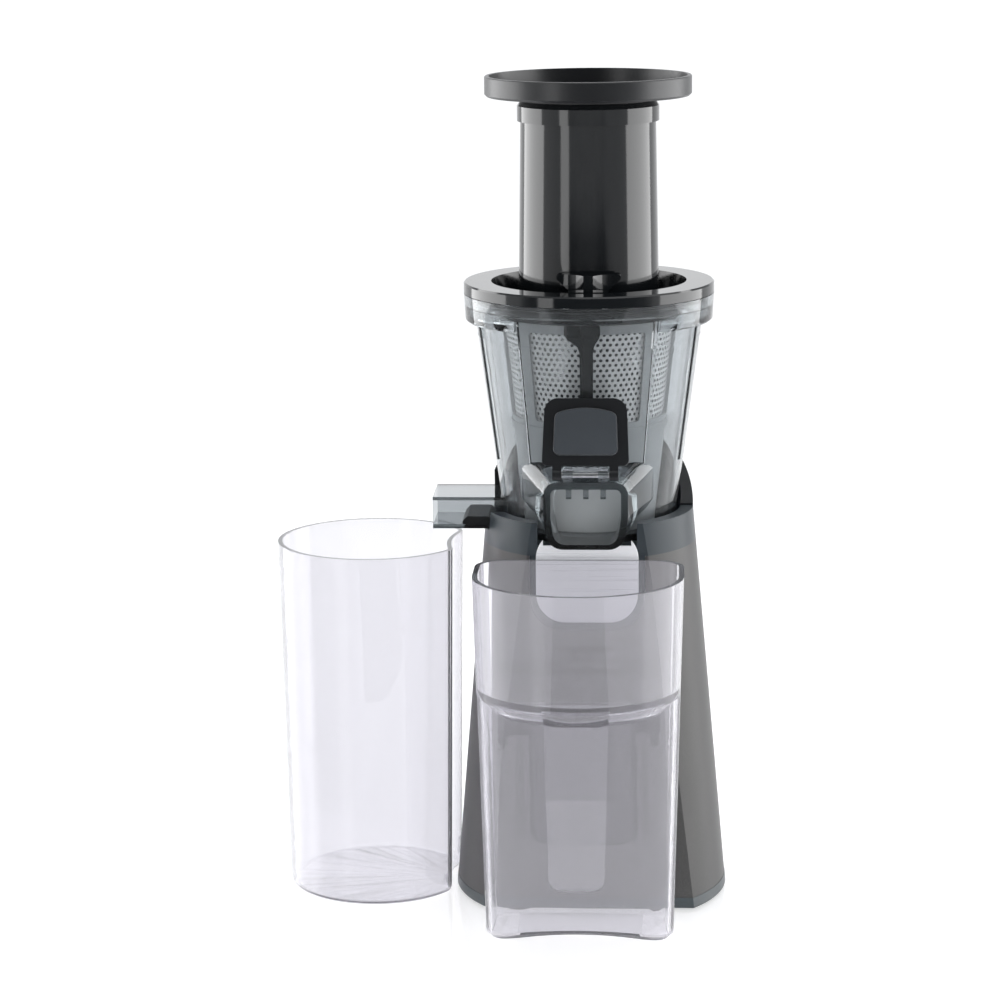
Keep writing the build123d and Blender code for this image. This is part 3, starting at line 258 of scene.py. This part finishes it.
def moulded_plastic(name, color, roughness, grain=2600, relief=0.00002, shine=0.5):
    """Moulded plastic with the fine spark-eroded grain of its tool."""
    material, shader = new_material(name, color, roughness)
    fine = pattern(material, "ShaderNodeTexNoise", (1, 1, 1), Scale=grain, Detail=3.0)
    cloudy = pattern(material, "ShaderNodeTexNoise", (1, 1, 1), Scale=24, Detail=4.0)
    vary_color(material, shader, cloudy, scaled(color, 0.9), scaled(color, 1.1))
    vary_roughness(material, shader, cloudy, roughness * 0.88, roughness * 1.12)
    bump(material, shader, fine, relief)
    shader.inputs["Specular IOR Level"].default_value = shine
    return material


def gloss_plastic(name, color, roughness):
    """Polished plastic with a very faint waviness and handling marks."""
    material, shader = new_material(name, color, roughness)
    wavy = pattern(material, "ShaderNodeTexNoise", (1, 1, 0.4), Scale=16, Detail=2.0)
    marks = pattern(material, "ShaderNodeTexNoise", (1, 1, 0.15), Scale=420, Detail=3.0)
    vary_color(material, shader, wavy, scaled(color, 0.85), scaled(color, 1.15))
    vary_roughness(material, shader, marks, roughness * 0.6, roughness * 1.5)
    bump(material, shader, wavy, 0.00012, 0.35)
    return material


def brushed_metal(name, color, roughness, stretch=(1, 1, 0.01), spread=0.12, metallic=1.0):
    """Metal with fine parallel scratches along one direction, deeper with a wider spread."""
    material, shader = new_material(name, color, roughness, metallic)
    lines = pattern(material, "ShaderNodeTexNoise", stretch, Scale=2400, Detail=2.0)
    vary_color(material, shader, lines, scaled(color, 1 - spread), scaled(color, 1 + spread))
    vary_roughness(material, shader, lines, roughness * 0.75, roughness * 1.25)
    bump(material, shader, lines, 0.00001, spread * 5)
    return material


def satin_paint(name, color, roughness):
    """Painted metal with fine flakes under a satin lacquer."""
    material, shader = new_material(name, color, roughness, metallic=0.12)
    flakes = pattern(material, "ShaderNodeTexVoronoi", (1, 1, 1), Scale=3200)
    peel = pattern(material, "ShaderNodeTexNoise", (1, 1, 1), Scale=700, Detail=2.0)
    vary_color(material, shader, flakes, scaled(color, 0.84), scaled(color, 1.18))
    vary_roughness(material, shader, flakes, roughness * 0.85, roughness * 1.1)
    bump(material, shader, peel, 0.00002, 0.5)
    shader.inputs["Specular IOR Level"].default_value = 0.35
    return material


def clear_plastic(name, color, roughness, shadow_tint, clearness, tint, density):
    """Clear plastic that light passes through, darker where its wall is thicker."""
    material, shader = new_material(name, color, roughness)
    shader.inputs["Transmission Weight"].default_value = clearness
    shader.inputs["IOR"].default_value = PLASTIC_IOR
    shader.inputs["Specular Tint"].default_value = (*color, 1)
    wear = pattern(material, "ShaderNodeTexNoise", (1, 1, 0.3), Scale=60, Detail=4.0)
    vary_roughness(material, shader, wear, roughness * 0.5, roughness * 1.5)
    bump(material, shader, wear, 0.00004, 0.1)
    tree = material.node_tree
    path = tree.nodes.new("ShaderNodeLightPath")
    passing = tree.nodes.new("ShaderNodeBsdfTransparent")
    passing.inputs["Color"].default_value = (*shadow_tint, 1)
    joined = tree.nodes.new("ShaderNodeMixShader")
    tree.links.new(path.outputs["Is Shadow Ray"], joined.inputs["Fac"])
    tree.links.new(shader.outputs["BSDF"], joined.inputs[1])
    tree.links.new(passing.outputs["BSDF"], joined.inputs[2])
    tree.links.new(joined.outputs["Shader"], tree.nodes["Material Output"].inputs["Surface"])
    depth = tree.nodes.new("ShaderNodeVolumeAbsorption")
    depth.inputs["Color"].default_value = (*tint, 1)
    depth.inputs["Density"].default_value = density
    tree.links.new(depth.outputs["Volume"], tree.nodes["Material Output"].inputs["Volume"])
    return material


def soft_rubber(name, color, roughness):
    """Silicone or rubber with a soft bloom and fine dust."""
    material = moulded_plastic(name, color, roughness, grain=1400, relief=0.00003)
    shader = material.node_tree.nodes["Principled BSDF"]
    shader.inputs["Sheen Weight"].default_value = 0.15
    shader.inputs["Sheen Roughness"].default_value = 0.5
    return material


SLOT_MATERIALS = {
    "rubber": soft_rubber("rubber", (0.02, 0.02, 0.021), 0.7),
    "dark_plastic": moulded_plastic("dark_plastic", (0.05, 0.065, 0.072), 0.36),
    "grey_plastic": moulded_plastic("grey_plastic", (0.042, 0.053, 0.062), 0.34, shine=0.25),
    "black_plastic": moulded_plastic("black_plastic", (0.012, 0.013, 0.015), 0.34),
    "gloss_black": gloss_plastic("gloss_black", (0.008, 0.0095, 0.011), 0.09),
    "cover_metal": satin_paint("cover_metal", (0.074, 0.0725, 0.0715), 0.42),
    "panel_metal": brushed_metal("panel_metal", (0.95, 0.96, 0.98), 0.3, (0.006, 1, 1), 0.03, 0.3),
    "clear_plastic": clear_plastic(
        "clear_plastic", (0.93, 0.925, 0.95), 0.01, (0.97, 0.97, 0.975), 0.9, (0.6, 0.59, 0.63), 60
    ),
    "smoke_plastic": clear_plastic(
        "smoke_plastic", (0.68, 0.7, 0.715), 0.03, (0.97, 0.97, 0.97), 0.98, (0.47, 0.5, 0.51), 110
    ),
    "silicone": soft_rubber("silicone", (0.02, 0.021, 0.023), 0.5),
    "flap_silicone": soft_rubber("flap_silicone", (0.05, 0.058, 0.068), 0.35),
    "mesh_steel": brushed_metal("mesh_steel", (0.99, 0.99, 0.99), 0.22, spread=0.06, metallic=0.15),
    "steel": brushed_metal("steel", (0.6, 0.6, 0.61), 0.28, (1, 1, 0.02)),
    "zinc_steel": brushed_metal("zinc_steel", (0.7, 0.71, 0.73), 0.33, (0.12, 0.12, 0.12)),
    "lamination": brushed_metal("lamination", (0.35, 0.35, 0.36), 0.45, (0.01, 0.01, 1)),
    "copper": brushed_metal("copper", (0.8, 0.42, 0.26), 0.3),
    "bronze": brushed_metal("bronze", (0.62, 0.42, 0.22), 0.45, (0.6, 0.6, 0.6), 0.2),
    "gear_nylon": moulded_plastic("gear_nylon", (0.8, 0.78, 0.7), 0.4),
    "housing_nylon": moulded_plastic("housing_nylon", (0.05, 0.05, 0.055), 0.5),
    "board": moulded_plastic("board", (0.02, 0.13, 0.05), 0.35),
    "auger_plastic": moulded_plastic("auger_plastic", (0.03, 0.033, 0.036), 0.32),
}
# Colours of their own for two pieces whose slots are shared; the key's near-black, almost
# unreflecting plastic is partly its own black, partly painted dark reflection
STRAINER_PLASTIC = moulded_plastic("strainer_plastic", (0.5, 0.52, 0.53), 0.3)
KEY_PLASTIC_WITH_PAINTED_REFLECTION = moulded_plastic("key_plastic_with_painted_reflection", (0.008, 0.009, 0.01), 0.4, shine=0.08)


def dress_nodes():
    """Gives every CAD node the material of its slot."""
    for part in frame["record"]["subparts"]:
        data = nodes[part["node"]].data
        data.materials.clear()
        data.materials.append(SLOT_MATERIALS[part["material_slot"]])


# ---------------------------------------------------------------- helpers for new pieces


def add_piece(name, shape, body, slot, material=None):
    """Turns a finished bmesh into a piece that rides on a body in a slot's material."""
    mesh = bpy.data.meshes.new(name)
    shape.to_mesh(mesh)
    shape.free()
    mesh.materials.append(material or SLOT_MATERIALS[slot])
    piece = bpy.data.objects.new(name, mesh)
    bpy.context.scene.collection.objects.link(piece)
    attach(piece, body)
    return piece


def turned(profile, first=-180, last=180, steps=144):
    """A closed form turned round the tower's axis from points of radius and height in mm."""
    shape = bmesh.new()
    whole = last - first == 360
    rings = []
    for step in range(steps if whole else steps + 1):
        away = direction(radians(first + (last - first) * step / steps), 0)
        ring = []
        for radius, height in profile:
            ring.append(shape.verts.new(TOWER + (away * radius + Vector((0, 0, height))) * mm))
        rings.append(ring)
    for step in range(steps):
        now, after = rings[step], rings[(step + 1) % len(rings)]
        for corner in range(len(profile)):
            beyond = (corner + 1) % len(profile)
            shape.faces.new((now[corner], after[corner], after[beyond], now[beyond]))
    if not whole:
        shape.faces.new(rings[0])
        shape.faces.new(list(reversed(rings[-1])))
    bmesh.ops.recalc_face_normals(shape, faces=shape.faces)
    return shape


def prism(outline, base, across, up, away):
    """A closed form from an outline in mm, laid at a place in mm beside the tower's foot."""
    shape = bmesh.new()
    ends = []
    for reach in (Vector((0, 0, 0)), away):
        place = [base + across * u + up * v + reach for u, v in outline]
        ends.append([shape.verts.new(TOWER + point * mm) for point in place])
    shape.faces.new(ends[0])
    shape.faces.new(list(reversed(ends[1])))
    for corner in range(len(outline)):
        beyond = (corner + 1) % len(outline)
        shape.faces.new((ends[0][corner], ends[1][corner], ends[1][beyond], ends[0][beyond]))
    bmesh.ops.recalc_face_normals(shape, faces=shape.faces)
    return shape


def combine(piece, shape, operation):
    """Cuts a form out of a piece or joins it on, and keeps the result as its mesh."""
    mesh = bpy.data.meshes.new("form")
    shape.to_mesh(mesh)
    shape.free()
    tool = bpy.data.objects.new("form", mesh)
    bpy.context.scene.collection.objects.link(tool)
    change = piece.modifiers.new("form", "BOOLEAN")
    change.operation = operation
    change.solver = "EXACT"
    change.object = tool
    view = bpy.context.evaluated_depsgraph_get()
    made = bpy.data.meshes.new_from_object(piece.evaluated_get(view))
    piece.modifiers.clear()
    piece.data = made
    bpy.data.objects.remove(tool)


def sharpen(piece, angle):
    """Smooth faces that meet in a sharp edge where they turn by more than an angle."""
    shape = bmesh.new()
    shape.from_mesh(piece.data)
    for face in shape.faces:
        face.smooth = True
        face.material_index = 0
    for edge in shape.edges:
        edge.smooth = len(edge.link_faces) == 2 and edge.calc_face_angle(0) < radians(angle)
    shape.to_mesh(piece.data)
    shape.free()


def node_shape(node):
    """A node's solid as a closed mesh of its own."""
    shape = bmesh.new()
    shape.from_mesh(nodes[node].data)
    bmesh.ops.remove_doubles(shape, verts=shape.verts, dist=0.002 * mm)
    return shape


X_AXIS = Vector((1, 0, 0))
Y_AXIS = Vector((0, 1, 0))
Z_AXIS = Vector((0, 0, 1))

# From here on, the profiles of new forms are in mm: radius from the tower's axis and height
# above the floor, or X and Y from that axis. Angles are in degrees from the front.

# ---------------------------------------------------------------- bowl

CONE_FOOT = 216.0
CONE_FOOT_RADIUS = 46.7
CONE_FLARE = 0.131
BOWL_WALL = 2.5
RIB_ANGLE = 36.5
RIB_PITCH = 35.0
RIBS_EACH_SIDE = 4
OLD_BAND_CUT = 302.6  # the plain band is cut back from just below its underside
BAND_BOTTOM = 310.0
BAND_STEP = 316.0  # between the front ribs the wall reaches up to here
BAND_RADIUS = 64.4
BAND_EDGE_RADIUS = 63.8
BAND_EDGE = 0.8
FILLING_TOP = 318.4
CLEAR_OF_BAND = 72.0
SLOPE_SPAN = 13.0  # the step runs out over this angle beside a front rib
MARK_OFFSET = 10.5
FIN_PITCH = 8.8


def cone_radius(height):
    """Outer radius of the bowl's cone in mm at a height."""
    return CONE_FOOT_RADIUS + CONE_FLARE * (height - CONE_FOOT)


def add_bowl():
    """The bowl with its stepped band, higher ribs, forked marks and fins in the spout."""
    bowl = add_piece("bowl_shell", node_shape("juice_bowl"), "bowl", "smoke_plastic")
    low, foot = OLD_BAND_CUT, BAND_BOTTOM - 0.5
    outside = (
        (cone_radius(low), low),
        (CLEAR_OF_BAND, low),
        (CLEAR_OF_BAND, BAND_BOTTOM + BAND_EDGE),
        (BAND_RADIUS, BAND_BOTTOM + BAND_EDGE),
        (BAND_EDGE_RADIUS, BAND_BOTTOM),
        (cone_radius(foot), foot),
    )
    combine(bowl, turned(outside), "DIFFERENCE")
    filling = (
        (cone_radius(300) - BOWL_WALL - 0.08, 300),
        (cone_radius(300) - 0.4, 300),
        (cone_radius(low), low),
        (cone_radius(foot), foot),
        (BAND_EDGE_RADIUS, BAND_BOTTOM),
        (BAND_RADIUS, BAND_BOTTOM + BAND_EDGE),
        (BAND_RADIUS, FILLING_TOP),
        (61.6, FILLING_TOP),
        (60.6, 317.9),
        (cone_radius(317.2) - BOWL_WALL - 0.08, 317.2),
    )
    combine(bowl, turned(filling), "UNION")
    front = (
        (cone_radius(foot - 0.2) + 0.03, foot - 0.2),
        (CLEAR_OF_BAND, foot - 0.2),
        (CLEAR_OF_BAND, BAND_STEP),
        (cone_radius(BAND_STEP) + 0.03, BAND_STEP),
    )
    combine(bowl, turned(front, -RIB_ANGLE - 0.4, RIB_ANGLE + 0.4, 40), "DIFFERENCE")
    for side in (-1, 1):
        slope = []
        far = RIB_ANGLE + SLOPE_SPAN
        for radius, angle in ((60.6, RIB_ANGLE), (67.0, RIB_ANGLE), (67.0, far)):
            away = direction(radians(side * angle), 0) * radius
            slope.append((away.x, away.y))
        base = Vector((0, 0, foot - 0.2))
        height = Z_AXIS * (BAND_STEP - foot + 0.2)
        combine(bowl, prism(slope, base, X_AXIS, Y_AXIS, height), "DIFFERENCE")
    for side in (-1, 1):
        for step in range(RIBS_EACH_SIDE):
            add_rib_top(bowl, side * (RIB_ANGLE + step * RIB_PITCH), step == 0)
    fork = (
        (-1.6, -6.8),
        (1.6, -6.8),
        (1.6, -0.1),
        (0.6, -0.1),
        (0.6, -5.5),
        (-0.6, -5.5),
        (-0.6, -0.1),
        (-1.6, -0.1),
    )
    for mark in (-MARK_OFFSET, MARK_OFFSET):
        base = Vector((mark, -65.6, 324))
        combine(bowl, prism(fork, base, X_AXIS, Z_AXIS, Y_AXIS * 2.4), "UNION")
    fin = ((-1.4, 0), (1.4, 0), (1.4, 6.8), (-1.4, 6.8))
    for place in (-FIN_PITCH, 0, FIN_PITCH):
        base = Vector((place, -63.3, 226.4))
        combine(bowl, prism(fin, base, X_AXIS, Z_AXIS, Y_AXIS * 7), "UNION")
    sharpen(bowl, 28)
    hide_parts("juice_bowl")


def add_rib_top(bowl, angle, is_front):
    """Carries a rib of the cone on to the band, with a rounded crest."""
    away = direction(radians(angle), 0)
    side = Vector((away.y, -away.x, 0))
    low = 301.0
    high = BAND_STEP + 0.2 if is_front else BAND_BOTTOM + 0.3
    crest = ((-1.35, -1.1), (1.35, -1.1), (1.35, 0.35), (0.85, 0.9), (-0.85, 0.9), (-1.35, 0.35))
    start = away * cone_radius(low) + Z_AXIS * low
    end = away * cone_radius(high) + Z_AXIS * high
    combine(bowl, prism(crest, start, side, away, end - start), "UNION")


# ---------------------------------------------------------------- lid

SKIRT_BOTTOM = 320.6
TAB_BOTTOM = 318.8
SEAL_LOW = 321.3
SEAL_HIGH = 323.3
TAB_HALF_ANGLE = 9.6
FOOT_RING_BOTTOM = 313.6
RECESS_FLOOR = 317.15
RING_TOP = 330.05
BRIDGE_MIDDLE = 1.2
BRIDGE_HALF_WIDTH = 16.3
BRIDGE_FOOT_HALF_WIDTH = 9.8
BRIDGE_TOP = 338.6
HOLLOW_RADIUS = 16.0
HOLLOW_STEPS = 48


def add_lid():
    """The lid with its short skirt and the hollowed thumb bridge at the front."""
    lid = add_piece("lid_moulding", node_shape("lid"), "cover", "gloss_black")
    skirt = ((56.6, 296), (64, 296), (64, TAB_BOTTOM), (56.6, TAB_BOTTOM))
    combine(lid, turned(skirt), "DIFFERENCE")
    beside_tab = ((56.8, 300), (64, 300), (64, SKIRT_BOTTOM), (56.8, SKIRT_BOTTOM))
    combine(lid, turned(beside_tab, TAB_HALF_ANGLE, 360 - TAB_HALF_ANGLE), "DIFFERENCE")
    groove = ((59.5, SEAL_LOW), (62, SEAL_LOW), (62, SEAL_HIGH), (59.5, SEAL_HIGH))
    combine(lid, turned(groove), "DIFFERENCE")
    foot = ((43.6, 300), (47.5, 300), (47.5, FOOT_RING_BOTTOM), (43.6, FOOT_RING_BOTTOM))
    combine(lid, turned(foot), "DIFFERENCE")
    old_block = (
        (37.1, RECESS_FLOOR),
        (48.95, RECESS_FLOOR),
        (50.7, 329.8),
        (50.7, RING_TOP),
        (56, RING_TOP),
        (56, 345),
        (37.1, 345),
    )
    combine(lid, turned(old_block, -32, 32, 26), "DIFFERENCE")
    foot_half, wide, top = BRIDGE_FOOT_HALF_WIDTH, BRIDGE_HALF_WIDTH, BRIDGE_TOP
    outline = (
        (-foot_half, 316),
        (foot_half, 316),
        (foot_half, 330),
        (wide, top - 2.6),
        (wide, top - 1),
        (wide - 1, top),
        (1 - wide, top),
        (-wide, top - 1),
        (-wide, top - 2.6),
        (-foot_half, 330),
    )
    base = Vector((BRIDGE_MIDDLE, -50, 0))
    rough_block = prism(outline, base, X_AXIS, Z_AXIS, Y_AXIS * 14)
    block = add_piece("thumb_bridge", rough_block, "cover", "gloss_black")
    for hand in (-1, 1):
        hollow = []
        for step in range(HOLLOW_STEPS):
            turn = 2 * pi * step / HOLLOW_STEPS
            across = hand * BRIDGE_HALF_WIDTH + HOLLOW_RADIUS * cos(turn)
            hollow.append((across, HOLLOW_RADIUS * sin(turn)))
        hollow_foot = Vector((BRIDGE_MIDDLE, -58, 330.4))
        combine(block, prism(hollow, hollow_foot, X_AXIS, Y_AXIS, Z_AXIS * 12), "DIFFERENCE")
    shape = bmesh.new()
    shape.from_mesh(block.data)
    bpy.data.objects.remove(block)
    combine(lid, shape, "UNION")
    sharpen(lid, 30)
    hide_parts("lid")


def add_lid_seal():
    """The ring seal in the groove of the lid's skirt, with two soft lips."""
    section = (
        (59.55, SEAL_LOW + 0.1),
        (60.9, SEAL_LOW + 0.1),
        (61.5, SEAL_LOW + 0.5),
        (60.9, SEAL_LOW + 0.95),
        (61.5, SEAL_LOW + 1.4),
        (60.9, SEAL_HIGH - 0.1),
        (59.55, SEAL_HIGH - 0.1),
    )
    seal = add_piece("lid_ring_seal", turned(section), "cover", "silicone")
    sharpen(seal, 60)
    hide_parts("lid_seal")


# ---------------------------------------------------------------- strainer

WINDOW_SILL = 261.0
WINDOW_HEAD = 303.0  # in the plain solid
PLAIN_RIM_HEIGHT = 6.0  # from the plain window head to the strainer's top
HEAD_RISE = 5.0
FRAME_FLARE = 0.1


def add_strainer_frame():
    """The strainer's frame with taller windows that reach up under the band."""
    shape = node_shape("strainer_frame")
    for vertex in shape.verts:
        height = vertex.co.z / mm
        if height <= WINDOW_SILL:
            continue
        if height <= WINDOW_HEAD:
            share = (height - WINDOW_SILL) / (WINDOW_HEAD - WINDOW_SILL)
            rise = HEAD_RISE * share
        else:
            rise = HEAD_RISE - (height - WINDOW_HEAD) / PLAIN_RIM_HEIGHT
        outward = Vector((vertex.co.x - TOWER.x, vertex.co.y - TOWER.y, 0)).normalized()
        vertex.co += (Z_AXIS * rise + outward * FRAME_FLARE * rise) * mm
    piece = add_piece("strainer_cage", shape, "bowl", "grey_plastic", STRAINER_PLASTIC)
    sharpen(piece, 30)
    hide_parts("strainer_frame")


# ---------------------------------------------------------------- strainer screen

HOLE_PITCH = 3.1 * mm
HOLE_RADIUS = 0.88 * mm
SCREEN_THICKNESS = 0.35 * mm
HOLE_SIDES = 12
SCREEN_TAPER = radians(6.33)


def add_strainer_screen():
    """The conical perforated screen, one hexagonal cell of sheet round each hole."""
    low, high = mesh_low.z, mesh_high.z + HEAD_RISE * mm
    plain_radius = (mesh_high.x - mesh_low.x) / 2 - SCREEN_THICKNESS
    radius_high = plain_radius + FRAME_FLARE * HEAD_RISE * mm
    radius_low = radius_high - tan(SCREEN_TAPER) * (high - low)
    row_height = HOLE_PITCH * sin(radians(60))
    rows = int((high - low) / row_height)
    around = int(2 * pi * (radius_low + radius_high) / 2 / HOLE_PITCH)
    shape = bmesh.new()

    def on_cone(turn_steps, height):
        share = height / (high - low)
        radius = radius_low + (radius_high - radius_low) * share
        angle = 2 * pi * turn_steps / around
        return TOWER + Vector((radius * cos(angle), radius * sin(angle), low + height))

    for row in range(rows):
        for step in range(around):
            middle_turn = step + 0.5 * (row % 2)
            middle_height = (row + 0.5) * row_height
            outer, inner = [], []
            for side in range(HOLE_SIDES):
                angle = 2 * pi * side / HOLE_SIDES + radians(30)
                corner = cos(radians(30)) if side % 2 else 1.0
                reach = HOLE_PITCH / 2 / cos(radians(30)) * corner
                for ring, size in ((outer, reach), (inner, HOLE_RADIUS)):
                    turn = middle_turn + size * cos(angle) / HOLE_PITCH
                    height = middle_height + size * sin(angle)
                    ring.append(shape.verts.new(on_cone(turn, height)))
            for side in range(HOLE_SIDES):
                after = (side + 1) % HOLE_SIDES
                shape.faces.new((outer[side], outer[after], inner[after], inner[side]))
    bmesh.ops.remove_doubles(shape, verts=shape.verts, dist=0.02 * mm)
    screen = add_piece("strainer_screen", shape, "bowl", "mesh_steel")
    thick = screen.modifiers.new("sheet", "SOLIDIFY")
    thick.thickness = SCREEN_THICKNESS
    thick.offset = -1
    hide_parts("strainer_mesh")


# ---------------------------------------------------------------- strainer key

# Height above the floor and the key's left and right edges in degrees from the front
KEY_OUTLINE = (
    (262.0, -4.2, 4.2),
    (299.0, -4.2, 4.2),
    (302.0, -5.4, 4.8),
    (304.0, -8.6, 5.8),
    (306.5, -12.2, 7.8),
    (308.5, -13.0, 8.2),
    (312.8, -13.0, 8.2),
    (313.6, -12.2, 7.6),
)
KEY_COLUMNS = 14
KEY_THICKNESS = 1.5 * mm
KEY_RIDGE_ANGLE = -2.4
KEY_RIDGE_HEIGHT = 0.7 * mm
KEY_TAPER = 0.111  # radius lost for each unit below the strainer's top
KEY_GAP = 0.05 * mm
RIM_HEIGHT = 5.5 * mm


def add_strainer_key():
    """The black locating key that stands on the front of the strainer, darker and duller still as
    painted dark reflection.
    """
    top = 313.0 * mm
    rim_radius = 48.0 * mm
    wall_radius = 46.4 * mm
    shape = bmesh.new()
    rows = []
    for height, left, right in KEY_OUTLINE:
        below_top = top - height * mm
        inner_radius = wall_radius - KEY_TAPER * below_top
        if below_top < RIM_HEIGHT:
            inner_radius = rim_radius + KEY_GAP
        row = []
        for step in range(KEY_COLUMNS + 1):
            turn = left + (right - left) * step / KEY_COLUMNS
            ridge = KEY_RIDGE_HEIGHT if abs(turn - KEY_RIDGE_ANGLE) < 0.4 else 0
            away = direction(radians(turn), 0)
            up = Vector((0, 0, height * mm))
            outer_radius = max(inner_radius, wall_radius - KEY_TAPER * below_top + 0.6 * mm)
            row.append(
                (
                    shape.verts.new(TOWER + up + away * (outer_radius + KEY_THICKNESS + ridge)),
                    shape.verts.new(TOWER + up + away * (inner_radius + KEY_GAP)),
                )
            )
        rows.append(row)
    for low_row, high_row in zip(rows, rows[1:]):
        for step in range(KEY_COLUMNS):
            a, b, c, d = low_row[step], low_row[step + 1], high_row[step + 1], high_row[step]
            shape.faces.new((a[0], b[0], c[0], d[0]))
            shape.faces.new((d[1], c[1], b[1], a[1]))
        for edge in (0, KEY_COLUMNS):
            a, d = low_row[edge], high_row[edge]
            shape.faces.new((a[1], a[0], d[0], d[1]))
    for row in (rows[0], rows[-1]):
        for step in range(KEY_COLUMNS):
            a, b = row[step], row[step + 1]
            shape.faces.new((a[0], a[1], b[1], b[0]))
    bmesh.ops.recalc_face_normals(shape, faces=shape.faces)
    # Near-black and almost without sheen: the key's own black plus a painted dark reflection down
    # the bowl's front
    key = add_piece("strainer_key", shape, "bowl", "black_plastic", KEY_PLASTIC_WITH_PAINTED_REFLECTION)
    soft = key.modifiers.new("edges", "BEVEL")
    soft.width = 0.3 * mm
    soft.segments = 2


# ---------------------------------------------------------------- scene

add_camera()
add_world()
add_floor()
add_flag("flag_far", ((-2.0, -4.0), (2.0, -4.0), (2.0, -1.0), (-2.0, -1.0)))
add_flag("flag_near", ((-0.3, -0.98), (0.42, -0.98), (0.24, -0.36), (-0.12, -0.36)))
add_softbox("softbox_left", -107, 14, 1.35, 1.5, 1.7, 3.1)
add_softbox("softbox_right", 98, 14, 1.35, 1.5, 1.7, 3.1)
add_softbox("strip_left", -37, 8, 1.9, 0.5, 1.5, 2.2)
add_softbox("softbox_top", 150, 72, 1.5, 1.6, 1.6, 0.6, lights_all=True)
fill_front = add_softbox("fill_front", 20, 22, 2.2, 2.2, 2.2, 1.2, lights_all=True)
fill_front.visible_glossy = fill_front.visible_transmission = False
softbox_back = add_softbox("softbox_back", 183.5, 14, 2.4, 2.6, 1.0, 0.5)
softbox_back.visible_camera = softbox_back.visible_transmission = False
bpy.context.scene.view_settings.view_transform = "Standard"

dress_nodes()
add_bowl()
add_lid()
add_lid_seal()
add_strainer_frame()
add_strainer_screen()
add_strainer_key()
